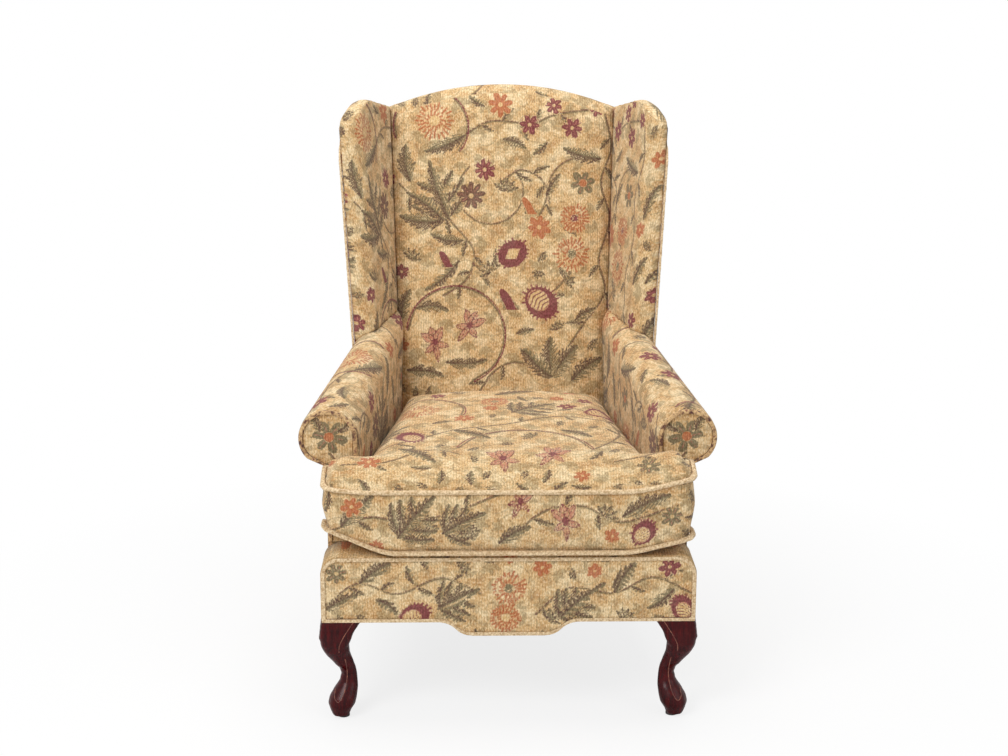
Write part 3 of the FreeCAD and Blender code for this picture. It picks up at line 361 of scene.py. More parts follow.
TAPESTRY = tapestry()
SELF_WELT = plain_cloth("self_covered_welt_cord", "#AD8A60", "#F0DAB4", 4.0, 0.0009, Sheen_Weight=0.1)
DARK_WELT = dark_welt_cloth()
MAHOGANY = polished_mahogany()
PALE_LINE = pale_line_finish()
LINING = plain_cloth("black_cambric_lining", "#0F0F10", "#242427", 2.5, 0.0004)
DECK_CLOTH = plain_cloth("plain_deck_ticking", "#A58D69", "#C4AD86", 2.6, 0.0006)
WADDING = plain_cloth("polyester_wadding", "#D9D6CC", "#EFEDE6", 12, 0.002)
ZIP_TAPE = plain_cloth("woven_zip_tape", "#B79A6C", "#D6BC8D", 1.8, 0.0004)
FINISHES = {
    "floral_tapestry": TAPESTRY,
    "self_welt": SELF_WELT,
    "dark_welt": DARK_WELT,
    "leg_mahogany": MAHOGANY,
    "frame_beech": sawn_beech(),
    "steel": plated_steel(),
    "glide_nylon": moulded_nylon(),
    "padding": WADDING,
    "lining_cloth": LINING,
    "zip_tape": ZIP_TAPE,
    "zip_brass": drawn_brass(),
}


# The woven figures: each writes its own threads as distances in mm, above zero inside

CHANNELS = tuple(row[0] for row in FIGURE_COLOURS)
FAR = -9.0

# The size of the pattern's repeat, across and up, in metres: on the covers, and on the cushion's band.
# UNREPEATED is the stretch that is filled where a cover has one layout of its own.
REPEAT = (0.52, 0.66)
BAND_REPEAT = (0.68, 0.5)
UNREPEATED = (0.8, 0.9)

class Cloth:
    """The distances of every point of one piece of cloth to each colour's figures."""

    def __init__(self, u, v, tile=None):
        self.u = u
        self.v = v
        self.tile = tile
        self.layers = {name: np.full(len(u), FAR) for name in CHANNELS}

    def near(self, centre, reach):
        """The points within reach of centre or of its repeats, and their offsets from it."""
        du = self.u - centre[0]
        dv = self.v - centre[1]
        if self.tile:
            du = du - self.tile[0] * np.round(du / self.tile[0])
            dv = dv - self.tile[1] * np.round(dv / self.tile[1])
        found = np.nonzero((np.abs(du) < reach) & (np.abs(dv) < reach))[0]
        return found, du[found], dv[found]

    def clear(self, found, body):
        """Takes away what lies under a figure's body."""
        for layer in self.layers.values():
            layer[found] = np.minimum(layer[found], -body / MM)

    def lay(self, found, **figures):
        """Adds figures, given in metres, to the colours named."""
        for name, distance in figures.items():
            layer = self.layers[name]
            layer[found] = np.maximum(layer[found], distance / MM)


def jitter(index, seed):
    """A steady number from 0 to 1 for each whole index."""
    return np.abs(np.sin(index * 12.9898 + seed * 78.233) * 43758.5453) % 1.0


def petals(radius, angle, size, count, depth, turn):
    """Distance inside a ring of rounded petals."""
    wave = np.abs(np.cos(count * (angle - turn) / 2))
    return size * (1 - depth + depth * wave ** 0.8) - radius


def fringe(radius, angle, inner, outer, count, width, seed, swirl=0.0):
    """Distance inside short strokes that fan out between two radii, no two of one length."""
    turn = (angle + swirl * radius / outer) * count / (2 * pi)
    index = np.round(turn)
    off = np.abs(turn - index) * 2 * pi / count * radius
    reach = outer * (0.76 + 0.24 * jitter(index % count, seed))
    begin = inner * (0.85 + 0.4 * jitter(index % count, seed + 1))
    return np.minimum(width - off, np.minimum(reach - radius, radius - begin))


def flower_points(cloth, centre, size):
    found, du, dv = cloth.near(centre, size * 1.4)
    return found, du, dv, np.hypot(du, dv), np.arctan2(dv, du)


def chrysanthemum(cloth, centre, size, core="gold"):
    """A flower of many fine strokes in three rings, with the ground showing between them."""
    found, _, _, radius, angle = flower_points(cloth, centre, size)
    cloth.clear(found, size * 0.94 - radius)
    seed = centre[0] * 50 + centre[1] * 31
    cloth.lay(found, rust=fringe(radius, angle, size * 0.56, size * 1.06, 24, 2.1 * MM, seed))
    cloth.lay(found, edge=fringe(radius, angle + 0.13, size * 0.66, size * 0.9, 24, 0.8 * MM, seed + 3))
    cloth.lay(found, rust=fringe(radius, angle, size * 0.26, size * 0.62, 13, 2.2 * MM, seed + 5, 0.6))
    heart = size * 0.26 - radius
    cloth.lay(found, **{core: np.minimum(heart, (np.abs(np.sin(radius * 900)) - 0.35) * 4 * MM)})


def star(cloth, centre, size, count, tint="wine", turn=0.2):
    """A small open flower of pointed petals, each with a pale line, round a gold eye."""
    found, _, _, radius, angle = flower_points(cloth, centre, size)
    number = np.round(count * (angle - turn) / (2 * pi)) % count
    body = petals(radius, angle, size * 1.08, count, 0.66, turn) - size * 0.24 * jitter(number, size * 77)
    ragged_body = np.maximum(body, fringe(radius, angle, size * 0.3, size, count * 2, 1.2 * MM, size * 999))
    cloth.clear(found, ragged_body + 1.0 * MM)
    cloth.lay(found, **{tint: ragged_body})
    phase = (count * (angle - turn) / (2 * pi)) % 1.0
    middle = np.minimum(phase, 1 - phase) * 2 * pi / count * radius
    pale = np.minimum(0.75 * MM - middle, np.minimum(size * 0.78 - radius, radius - size * 0.3))
    cloth.lay(found, pink=pale)
    cloth.lay(found, gold=size * 0.18 - radius)


def peony(cloth, centre, size, turn, tint="wine", kite=False):
    """A full flower: a dark jagged body that opens on one side on a pale, dark-lined heart."""
    found, du, dv, radius, angle = flower_points(cloth, centre, size)
    along = du * cos(turn) + dv * sin(turn)
    across = dv * cos(turn) - du * sin(turn)
    stretched = np.hypot(along * 0.9, across * 1.1)
    seed = centre[0] * 70 + centre[1] * 13
    jagged = fringe(stretched, angle, size * 0.5, size * 1.08, 24, 2.0 * MM, seed)
    body = np.maximum(size * 0.84 - stretched, jagged)
    cloth.clear(found, body + 1.0 * MM)
    if kite:
        opening = size * 0.42 - (np.abs(along) * 0.75 + np.abs(across) * 1.1)
    else:
        opening = size * 0.58 - np.hypot((along + size * 0.2) * 0.95, across * 1.12)
    cloth.lay(found, **{tint: np.minimum(body, -opening)})
    strokes = (np.abs((along / size * 4.6 + 0.35 * np.cos(across / size * 7)) % 1.0 - 0.5) - 0.3) * 9 * MM
    if not kite:
        cloth.lay(found, **{tint: np.minimum(strokes, opening - 0.5 * MM)})
    cloth.lay(found, pink=np.minimum(0.9 * MM - np.abs(opening - 1.2 * MM), size - radius))
    cloth.lay(found, gold=np.minimum(opening - 2.6 * MM, -strokes))


def iris(cloth, centre, size, turn):
    """A flower in profile: upright petals and falls, pink, striped and edged in dark wine."""
    found, du, dv = cloth.near(centre, size * 1.5)
    lean_u = du * cos(turn) + dv * sin(turn)
    lean_v = dv * cos(turn) - du * sin(turn)
    whole = np.full(len(found), FAR * MM)
    edges = np.full(len(found), FAR * MM)
    for tilt, long, wide, base in (
        (90, 0.8, 0.24, 0.0),
        (48, 0.85, 0.22, 0.0),
        (132, 0.85, 0.22, 0.0),
        (-25, 0.7, 0.17, -0.1),
        (205, 0.7, 0.17, -0.1),
        (262, 1.0, 0.16, -0.05),
    ):
        along_u, along_v = cos(radians(tilt)), sin(radians(tilt))
        along = lean_u * along_u + (lean_v - base * size) * along_v
        across = -lean_u * along_v + (lean_v - base * size) * along_u
        share = np.clip(along / (long * size), 0, 1)
        half = wide * size * np.sin(pi * share ** 0.75) ** 0.8
        petal = np.where((along > 0) & (along < long * size), half - np.abs(across), FAR * MM)
        whole = np.maximum(whole, petal)
        edges = np.maximum(edges, 1.3 * MM - np.abs(petal - 1.0 * MM))
        edges = np.maximum(edges, np.minimum(1.0 * MM - np.abs(across), petal))
    cloth.clear(found, whole + 1.0 * MM)
    cloth.lay(found, pink=np.minimum(whole - 0.3 * MM, -2.5 * edges - 0.6 * MM), wine=edges)
    cloth.lay(found, wine=size * 0.17 - np.hypot(lean_u, lean_v))


def leaf(cloth, base, tip, width, bend=0.0, lobes=2):
    """A leaf of strokes that sweep from its midrib towards its tip, with toothed sides."""
    base = np.array(base, float)
    tip = np.array(tip, float)
    length = float(np.hypot(*(tip - base)))
    along_axis = (tip - base) / length
    middle = (base + tip) / 2
    found, du, dv = cloth.near(middle, length / 2 + width + abs(bend))
    du = du + middle[0] - base[0]
    dv = dv + middle[1] - base[1]
    along = du * along_axis[0] + dv * along_axis[1]
    across = -du * along_axis[1] + dv * along_axis[0]
    share = np.clip(along / length, 0, 1)
    across = across - bend * np.sin(pi * share)
    sweep = share - np.abs(across) / length * 1.25
    tooth = np.abs(np.sin(pi * sweep * max(lobes, 2) * 1.5))
    half = width / 2 * np.sin(pi * share ** 0.85) ** 0.65 * (0.5 + 0.6 * tooth ** 0.7)
    within = (along > -1 * MM) & (along < length)
    body = np.where(within, half - np.abs(across), FAR * MM)
    pitch = 6.0 * MM
    phase = np.abs((sweep * length / pitch) % 1.0 - 0.5)
    stroke = (0.36 - phase) * pitch
    near_rib = width * 0.12 - np.abs(across)
    cloth.clear(found, body)
    cloth.lay(found, leaf=np.minimum(body, np.maximum(stroke, near_rib)))
    shade = np.minimum(body - 1.0 * MM, np.maximum((0.12 - phase) * pitch, 0.0))
    rib = np.where(within, 1.1 * MM * (1.2 - share) - np.abs(across), FAR * MM)
    cloth.lay(found, vein=np.maximum(np.minimum(rib, body), np.where(across > 0, shade, FAR * MM)))


def acanthus(cloth, base, tip, width):
    """A large leaf cut into lobes: a middle blade and pairs of side blades that curl away from it."""
    base = np.array(base, float)
    tip = np.array(tip, float)
    axis = tip - base
    side = np.array((-axis[1], axis[0]))
    for share, reach, lean in ((0.05, 0.5, 0.5), (0.25, 0.42, 0.42), (0.5, 0.3, 0.3)):
        for hand in (1, -1):
            start = base + axis * share
            leaf(cloth, start, start + axis * reach * 0.75 + side * lean * hand, width * 0.42, 0.003 * hand, 2)
    leaf(cloth, base, tip, width * 0.62, width * 0.08, 4)


def vine(cloth, points, width=4.0 * MM, edge=True, shoots=True):
    """A stem along a smooth line through points, olive with a dark line along it and small shoots."""
    route = smooth_route(points)
    lowest = route.min(axis=0)
    highest = route.max(axis=0)
    middle = (lowest + highest) / 2
    found, du, dv = cloth.near(middle, float(max(highest - lowest)) / 2 + 10 * MM)
    if not len(found):
        return
    here = np.stack((du + middle[0], dv + middle[1]), axis=1)
    nearest = np.full(len(found), 1.0)
    signed = np.zeros(len(found))
    for start, end in zip(route[:-1], route[1:]):
        run = end - start
        span = float(run @ run) + 1e-12
        offset = here - start
        share = np.clip(offset @ run / span, 0, 1)
        gap = offset - share[:, None] * run
        distance = np.hypot(gap[:, 0], gap[:, 1])
        closer = distance < nearest
        nearest = np.where(closer, distance, nearest)
        signed = np.where(closer, np.sign(run[0] * offset[:, 1] - run[1] * offset[:, 0]), signed)
    cloth.lay(found, vine=width / 2 - nearest)
    if edge:
        cloth.lay(found, edge=np.where(signed > 0, 1.0 * MM - np.abs(nearest - width / 2), FAR * MM))
    if shoots:
        for number, place in enumerate(range(5, len(route) - 3, 6)):
            run = route[place + 1] - route[place]
            run = run / (np.hypot(*run) + 1e-9)
            hand = 1 if number % 2 else -1
            away = run * 0.8 + np.array((-run[1], run[0])) * hand
            size = (0.02 + 0.012 * jitter(number + points[0][0] * 91, 2)) * away
            leaf(cloth, route[place], route[place] + size, 0.013, 0.002 * hand, 2)


def smooth_route(points, steps=7):
    """A line of short runs through points, rounded as a Catmull-Rom line."""
    points = [np.array(p, float) for p in points]
    ends = [2 * points[0] - points[1]] + points + [2 * points[-1] - points[-2]]
    route = []
    for before, start, end, after in zip(ends, ends[1:], ends[2:], ends[3:]):
        for step in range(steps):
            t = step / steps
            route.append(
                0.5
                * (
                    2 * start
                    + (end - before) * t
                    + (2 * before - 5 * start + 4 * end - after) * t ** 2
                    + (3 * start - before - 3 * end + after) * t ** 3
                )
            )
    route.append(points[-1])
    return np.array(route)


def arc_vine(cloth, centre, radius, start, end, width=3.4 * MM, thick=False):
    """A stem that curls round a centre from one angle to another, in degrees."""
    count = max(4, int(abs(end - start) / 30) + 1)
    turns = np.radians(np.linspace(start, end, count))
    vine(cloth, [(centre[0] + radius * cos(a), centre[1] + radius * sin(a)) for a in turns], width, True, False)
    if thick:
        wide = radius + 3.2 * MM
        found, du, dv = cloth.near(centre, wide + 6 * MM)
        angle = np.degrees(np.arctan2(dv, du))
        low, high = min(start, end), max(start, end)
        within = ((angle - low) % 360) < (high - low)
        distance = np.where(within, 1.6 * MM - np.abs(np.hypot(du, dv) - wide), FAR * MM)
        cloth.lay(found, wine=distance)


def sprig(cloth, centre, size, turn):
    """A tuft of small leaves."""
    for step in range(-2, 3):
        heading = turn + radians(32 * step)
        tip = (centre[0] + size * cos(heading), centre[1] + size * sin(heading))
        leaf(cloth, centre, tip, size * 0.42)


def bud(cloth, centre, size, tint="wine"):
    """A pointed bud, leaning, in a small cup of leaves."""
    found, du, dv = cloth.near(centre, size * 2.2)
    leaning = du + dv * 0.5
    body = size - np.hypot(leaning * 1.4, dv * 0.8) * (1 + 0.25 * dv / size)
    cloth.clear(found, body + 1 * MM)
    cloth.lay(found, **{tint: body})
    cloth.lay(found, leaf=np.minimum(1.2 * MM - np.abs(body + 1.4 * MM), -dv))


def eye(cloth, centre, size, tint):
    """A round flower centre."""
    found, du, dv = cloth.near(centre, size * 1.5)
    cloth.clear(found, size - np.hypot(du, dv))
    cloth.lay(found, **{tint: size - np.hypot(du, dv)})


def scattered(cloth, spacing, shake, seed_u, seed_v):
    """Numbered places over the cloth, a grid's about spacing apart, each moved by up to half of shake."""
    wide, high = cloth.tile or UNREPEATED
    below = 0 if cloth.tile else high / 2
    columns, rows = int(wide / spacing), int(high / spacing)
    for number in range(columns * rows):
        column, row = number % columns, number // columns
        yield number, (
            (column + 0.5 + shake * (jitter(number, seed_u) - 0.5)) * wide / columns - wide / 2,
            (row + 0.5 + shake * (jitter(number, seed_v) - 0.5)) * high / rows - below,
        )


def ghosts(cloth, spacing=0.052, seed=1.0):
    """Faint broad sprays that lie under all else, in the threads that the ground and the leaves share."""
    for number, centre in scattered(cloth, spacing, 0.7, seed + 11, seed + 14):
        found, du, dv = cloth.near(centre, 0.8 * spacing)
        size = spacing * (0.34 + 0.3 * float(jitter(number, seed + 17)))
        turn = 6.28 * float(jitter(number, seed + 19))
        for lean in (-0.75, 0.0, 0.75):
            along = du * cos(turn + lean) + dv * sin(turn + lean)
            across = dv * cos(turn + lean) - du * sin(turn + lean)
            share = np.clip(along / size, 0, 1)
            wave = 0.75 + 0.4 * np.abs(np.sin(share * 9))
            half = size * 0.2 * np.sin(pi * share) ** 0.7 * wave
            inside = (along > 0) & (along < size)
            cloth.lay(found, ghost=np.where(inside, half - np.abs(across), FAR * MM))
        curl = np.hypot(du, dv) - size
        swing = np.abs((np.arctan2(dv, du) - turn) % (2 * pi) - pi) < 1.3
        cloth.lay(found, ghost=np.where(swing, 1.3 * MM - np.abs(curl), FAR * MM))


def filled(cloth, spacing=0.031, seed=1.0):
    """Small leaves, sprigs and stars where the cloth is still bare, as the woven ground never is."""
    for number, centre in scattered(cloth, spacing, 0.5, seed, seed + 4):
        found, _, _ = cloth.near(centre, 0.6 * spacing)
        if not len(found):
            continue
        taken = max(float(cloth.layers[name][found].max()) for name in CHANNELS[1:])
        if taken > -1.5:
            continue
        turn = 6.28 * float(jitter(number, seed + 8))
        kind = float(jitter(number, seed + 2))
        size = spacing * (0.5 + 0.24 * kind)
        if kind < 0.52:
            sprig(cloth, (centre[0] - 0.3 * size * cos(turn), centre[1] - 0.3 * size * sin(turn)), size, turn)
        elif kind < 0.82:
            tip = (centre[0] + size * cos(turn), centre[1] + size * sin(turn))
            leaf(cloth, (2 * centre[0] - tip[0], 2 * centre[1] - tip[1]), tip, size * 0.8, 0.002)
        elif kind < 0.93:
            star(cloth, centre, size * 0.75, 6, "rust", turn)
        else:
            star(cloth, centre, size * 0.75, 6, "wine", turn)


def weave_back_figures(cloth):
    """The repeat that the inside back shows; its centre line is u = 0 and its foot v = 0."""
    ghosts(cloth)
    vine(cloth, ((-0.214, 0.416), (-0.179, 0.385), (-0.124, 0.35), (-0.109, 0.342)))
    vine(cloth, ((-0.109, 0.342), (-0.064, 0.288), (-0.062, 0.251), (-0.080, 0.216), (-0.124, 0.187)))
    vine(
        cloth,
        ((0.212, 0.56), (0.226, 0.49), (0.203, 0.42), (0.222, 0.34), (0.198, 0.26), (0.21, 0.19), (0.16, 0.12),
         (0.10, 0.03)),
    )
    vine(cloth, ((0.0, 0.424), (0.037, 0.445), (0.078, 0.428), (0.09, 0.39), (0.07, 0.34)))
    vine(cloth, ((-0.076, 0.519), (-0.03, 0.545), (0.02, 0.545), (0.06, 0.54), (0.11, 0.56), (0.19, 0.57)))
    vine(cloth, ((-0.062, 0.251), (-0.03, 0.235), (0.0, 0.255), (0.02, 0.273)))
    vine(cloth, ((0.079, 0.172), (0.11, 0.20), (0.14, 0.24), (0.15, 0.30), (0.148, 0.346)))
    vine(cloth, ((0.101, 0.023), (0.03, 0.05), (-0.02, 0.03), (-0.06, -0.02), (-0.12, -0.03)))
    arc_vine(cloth, (-0.148, 0.535), 0.075, 200, -40, thick=True)
    arc_vine(cloth, (-0.025, 0.402), 0.068, 130, 400)
    arc_vine(cloth, (0.165, 0.4), 0.072, 200, 60)
    arc_vine(cloth, (-0.097, 0.105), 0.099, 175, -70, 3.8 * MM, thick=True)
    acanthus(cloth, (-0.109, 0.342), (-0.152, 0.468), 0.05)
    leaf(cloth, (-0.076, 0.519), (-0.163, 0.484), 0.03, 0.005, 4)
    leaf(cloth, (-0.115, 0.344), (-0.214, 0.35), 0.036, 0.008, 4)
    leaf(cloth, (0.205, 0.468), (0.124, 0.492), 0.03, 0.004, 4)
    leaf(cloth, (-0.089, 0.26), (-0.163, 0.196), 0.022, 0.006, 0)
    leaf(cloth, (-0.08, 0.3), (-0.15, 0.315), 0.024, 0.006, 3)
    leaf(cloth, (0.148, 0.136), (0.195, 0.16), 0.02, 0.003, 0)
    leaf(cloth, (0.09, 0.39), (0.12, 0.44), 0.02, 0.003, 3)
    leaf(cloth, (0.0, 0.51), (0.05, 0.49), 0.022, 0.004, 3)
    for tip, width in (((0.155, 0.085), 0.042), ((0.098, 0.103), 0.04), ((0.042, 0.078), 0.038)):
        leaf(cloth, (0.101, 0.018), tip, width, 0.004, 5)
    leaf(cloth, (0.14, 0.01), (0.205, 0.055), 0.036, 0.006, 4)
    sprig(cloth, (0.006, 0.402), 0.03, 1.4)
    sprig(cloth, (-0.025, 0.235), 0.026, 2.4)
    sprig(cloth, (0.128, 0.216), 0.024, 0.4)
    sprig(cloth, (0.115, 0.117), 0.02, 2.0)
    sprig(cloth, (-0.19, 0.26), 0.026, 1.2)
    sprig(cloth, (-0.195, 0.45), 0.022, 1.8)
    sprig(cloth, (0.03, 0.63), 0.024, 4.2)
    chrysanthemum(cloth, (-0.14, 0.548), 0.04)
    chrysanthemum(cloth, (0.142, 0.273), 0.038, "leaf")
    chrysanthemum(cloth, (0.148, 0.346), 0.031, "wine")
    star(cloth, (-0.004, 0.581), 0.027, 7, "rust")
    star(cloth, (0.075, 0.328), 0.025, 7, "rust", 0.5)
    star(cloth, (0.166, 0.419), 0.027, 6, "leaf")
    eye(cloth, (0.166, 0.419), 0.008, "rust")
    for centre, size in (((0.056, 0.54), 0.023), ((0.107, 0.579), 0.019), ((0.144, 0.533), 0.023)):
        star(cloth, centre, size, 6, "wine", size * 40)
    star(cloth, (0.196, 0.571), 0.017, 6)
    star(cloth, (0.136, 0.605), 0.015, 6)
    star(cloth, (-0.037, 0.447), 0.024, 8)
    star(cloth, (-0.065, 0.393), 0.029, 9, "vein")
    peony(cloth, (0.02, 0.273), 0.034, 0.6, "wine", True)
    peony(cloth, (0.079, 0.172), 0.039, -0.7)
    iris(cloth, (-0.14, 0.091), 0.042, 0.3)
    iris(cloth, (-0.068, 0.126), 0.042, -0.5)
    bud(cloth, (-0.122, 0.268), 0.011)
    bud(cloth, (0.004, 0.187), 0.014)
    bud(cloth, (0.049, 0.379), 0.011, "rust")
    leaf(cloth, (0.25, 0.25), (0.285, 0.31), 0.026, 0.004, 3)
    leaf(cloth, (0.255, 0.38), (0.28, 0.45), 0.026, 0.004, 3)
    star(cloth, (0.27, 0.5), 0.02, 6, "rust")
    star(cloth, (0.262, 0.18), 0.018, 6)
    sprig(cloth, (0.255, 0.06), 0.024, 0.9)
    leaf(cloth, (-0.19, 0.42), (-0.2, 0.5), 0.034, 0.006, 3)
    leaf(cloth, (-0.12, 0.34), (-0.2, 0.4), 0.03, -0.006, 3)
    leaf(cloth, (-0.21, 0.13), (-0.19, 0.2), 0.028, 0.006, 3)
    leaf(cloth, (-0.12, 0.05), (-0.03, 0.055), 0.024, -0.006, 2)
    leaf(cloth, (-0.2, 0.03), (-0.12, 0.02), 0.026, 0.006, 2)
    leaf(cloth, (-0.18, 0.16), (-0.11, 0.155), 0.024, 0.008, 2)
    filled(cloth)


def weave_seat_figures(cloth):
    """The seat cushion's top: a large dark arc over two irises, rust flowers behind."""
    ghosts(cloth, 0.052, 2.0)
    arc_vine(cloth, (0.03, -0.33), 0.125, 10, 165, 4 * MM, thick=True)
    arc_vine(cloth, (-0.17, -0.08), 0.09, -20, 200, 3.6 * MM, thick=True)
    vine(cloth, ((-0.27, -0.3), (-0.18, -0.26), (-0.1, -0.2), (0.0, -0.17), (0.1, -0.12), (0.2, -0.14)))
    vine(cloth, ((0.155, -0.31), (0.2, -0.25), (0.21, -0.17), (0.16, -0.08), (0.05, -0.03)))
    vine(cloth, ((-0.3, -0.37), (-0.22, -0.36), (-0.14, -0.31), (-0.09, -0.33)))
    vine(cloth, ((0.19, -0.36), (0.26, -0.34), (0.31, -0.3)))
    acanthus(cloth, (0.01, -0.1), (0.1, -0.03), 0.045)
    acanthus(cloth, (-0.27, -0.2), (-0.18, -0.17), 0.042)
    leaf(cloth, (-0.1, -0.2), (-0.03, -0.25), 0.03, 0.004, 4)
    leaf(cloth, (0.21, -0.17), (0.27, -0.12), 0.03, 0.004, 4)
    leaf(cloth, (-0.2, -0.3), (-0.13, -0.36), 0.03, 0.004, 4)
    leaf(cloth, (0.1, -0.2), (0.16, -0.24), 0.026, 0.004, 3)
    leaf(cloth, (-0.02, 0.03), (0.06, 0.06), 0.03, 0.004, 4)
    chrysanthemum(cloth, (-0.17, -0.07), 0.042)
    chrysanthemum(cloth, (-0.02, -0.02), 0.03, "leaf")
    peony(cloth, (0.185, -0.08), 0.036, 0.6)
    peony(cloth, (-0.18, -0.235), 0.032, 2.2)
    iris(cloth, (-0.01, -0.345), 0.046, 0.2)
    iris(cloth, (0.08, -0.33), 0.046, -0.4)
    star(cloth, (0.24, -0.22), 0.024, 6)
    star(cloth, (-0.08, -0.13), 0.022, 7, "rust")
    star(cloth, (0.12, -0.05), 0.02, 6)
    star(cloth, (-0.25, -0.36), 0.024, 6, "rust")
    star(cloth, (0.25, -0.38), 0.024, 7, "leaf")
    sprig(cloth, (0.05, -0.24), 0.026, 2.5)
    sprig(cloth, (-0.1, 0.05), 0.026, 0.8)
    sprig(cloth, (0.2, 0.04), 0.026, 2.0)
    filled(cloth, 0.031, 3.0)


def weave_boxing_figures(cloth):
    """The cushion's front band: a grey acanthus left of the middle and an iris right of it."""
    ghosts(cloth, 0.048, 4.0)
    vine(cloth, ((-0.32, 0.37), (-0.25, 0.4), (-0.18, 0.39), (-0.1, 0.41), (-0.02, 0.44)))
    vine(cloth, ((0.0, 0.36), (0.06, 0.41), (0.13, 0.42), (0.2, 0.39), (0.3, 0.42)))
    acanthus(cloth, (-0.2, 0.36), (-0.13, 0.44), 0.05)
    acanthus(cloth, (-0.12, 0.37), (-0.04, 0.41), 0.045)
    leaf(cloth, (-0.3, 0.38), (-0.24, 0.44), 0.034, 0.004, 4)
    leaf(cloth, (-0.02, 0.35), (0.04, 0.385), 0.028, 0.004, 4)
    leaf(cloth, (0.2, 0.4), (0.29, 0.44), 0.03, 0.004, 4)
    iris(cloth, (0.1, 0.395), 0.04, 0.2)
    iris(cloth, (0.02, 0.43), 0.034, -0.3)
    peony(cloth, (0.24, 0.37), 0.026, 1.0)
    star(cloth, (0.29, 0.4), 0.022, 7, "leaf")
    star(cloth, (-0.28, 0.42), 0.02, 6, "rust")
    sprig(cloth, (0.17, 0.4), 0.026, 1.0)
    sprig(cloth, (-0.07, 0.36), 0.022, 1.8)
    filled(cloth, 0.029, 5.0)


def weave_border_figures(cloth):
    """The front border: rust flowers in the middle, dark peonies low at both sides."""
    ghosts(cloth, 0.048, 6.0)
    vine(cloth, ((-0.33, 0.23), (-0.27, 0.27), (-0.2, 0.25), (-0.12, 0.28), (-0.05, 0.25)))
    vine(cloth, ((0.05, 0.21), (0.11, 0.26), (0.19, 0.25), (0.26, 0.28), (0.33, 0.25)))
    acanthus(cloth, (-0.13, 0.22), (-0.05, 0.26), 0.042)
    acanthus(cloth, (0.09, 0.2), (0.16, 0.26), 0.046)
    leaf(cloth, (0.19, 0.25), (0.23, 0.31), 0.03, 0.004, 4)
    leaf(cloth, (-0.27, 0.27), (-0.21, 0.31), 0.03, 0.004, 4)
    leaf(cloth, (-0.33, 0.22), (-0.27, 0.25), 0.026, 0.004, 4)
    leaf(cloth, (0.3, 0.26), (0.25, 0.22), 0.026, 0.004, 4)
    leaf(cloth, (-0.24, 0.24), (-0.2, 0.21), 0.024, 0.004, 3)
    chrysanthemum(cloth, (0.0, 0.26), 0.034, "leaf")
    chrysanthemum(cloth, (-0.005, 0.205), 0.03)
    peony(cloth, (-0.17, 0.207), 0.03, 0.5)
    peony(cloth, (0.315, 0.222), 0.026, 2.0)
    star(cloth, (-0.31, 0.29), 0.022, 7, "leaf")
    star(cloth, (0.06, 0.3), 0.018, 6, "rust")
    star(cloth, (0.29, 0.3), 0.02, 6)
    sprig(cloth, (0.07, 0.2), 0.026, 0.8)
    sprig(cloth, (0.21, 0.2), 0.024, 1.2)
    sprig(cloth, (-0.09, 0.3), 0.024, 0.4)
    filled(cloth, 0.029, 7.0)


def weave_facing_figures(cloth):
    """The arm front: one open flower on the scroll with leaves round it, and a stem below."""
    ghosts(cloth, 0.045, 9.0)
    star(cloth, (0.325, 0.52), 0.034, 6, "leaf")
    eye(cloth, (0.325, 0.52), 0.009, "rust")
    vine(cloth, ((0.29, 0.34), (0.31, 0.4), (0.30, 0.45), (0.325, 0.49)))
    leaf(cloth, (0.305, 0.44), (0.345, 0.47), 0.024, 0.003, 3)
    leaf(cloth, (0.305, 0.4), (0.28, 0.44), 0.022, 0.003, 3)
    leaf(cloth, (0.34, 0.53), (0.36, 0.56), 0.02, 0.003, 3)
    leaf(cloth, (0.31, 0.53), (0.285, 0.555), 0.02, 0.003, 3)


def points_of(mesh):
    places = np.empty(len(mesh.vertices) * 3)
    mesh.vertices.foreach_get("co", places)
    return places.reshape(-1, 3)


def put_back(mesh, places):
    mesh.vertices.foreach_set("co", places.ravel())
    mesh.update()


def leaning(mesh):
    """Which way each point's surface faces."""
    lean = np.empty(len(mesh.vertices) * 3)
    mesh.vertices.foreach_get("normal", lean)
    return lean.reshape(-1, 3)


def written(mesh, name, values):
    attribute = mesh.attributes.new(name, "FLOAT", "POINT")
    attribute.data.foreach_set("value", values.astype(np.float32))


def paint(mesh, weave, coordinates, tile=None, second=None):
    """Writes the figures' distances on a mesh, from its points' places on the cloth.

    second is another (figures, coordinates, chosen points, repeat) laid where its points are chosen.
    """
    places = points_of(mesh)
    lean = leaning(mesh)
    u, v = coordinates(places, lean)
    cloth = Cloth(u, v, tile)
    weave(cloth)
    layers = cloth.layers
    if second:
        other_weave, other_coordinates, chosen, other_tile = second
        other_u, other_v = other_coordinates(places, lean)
        other = Cloth(other_u, other_v, other_tile)
        other_weave(other)
        layers = {name: np.where(chosen, other.layers[name], layers[name]) for name in CHANNELS}
        u = np.where(chosen, other_u, u)
        v = np.where(chosen, other_v, v)
    for name, layer in layers.items():
        written(mesh, name, np.clip(layer, FAR, 9.0))
    written(mesh, "across_cloth", u)
    written(mesh, "along_cloth", v)


# Where each piece's points lie on the cloth, from their places p and from which way the surface leans there

def on_back(p, lean):
    """Up the raked back; over the crest the cloth goes on backwards."""
    up = (p[:, 2] - BACK_Z) / cos(BACK_RAKE)
    return p[:, 0], np.where(lean[:, 2] > 0.6, 0.33 + p[:, 1], up)


def on_outside_back(p, lean):
    return p[:, 0] + 0.1, p[:, 2]


def on_wing(p, lean):
    """Inside faces run back from the nose; the height is the same as the back's."""
    side = np.sign(p[:, 0])
    top = lean[:, 2] > 0.6
    out = np.abs(p[:, 0])
    across = np.where(top, 0.3 - p[:, 1], out - p[:, 1] + 0.06)
    return side * across + 0.03, np.where(top, 0.37 + out, p[:, 2] - 0.47)


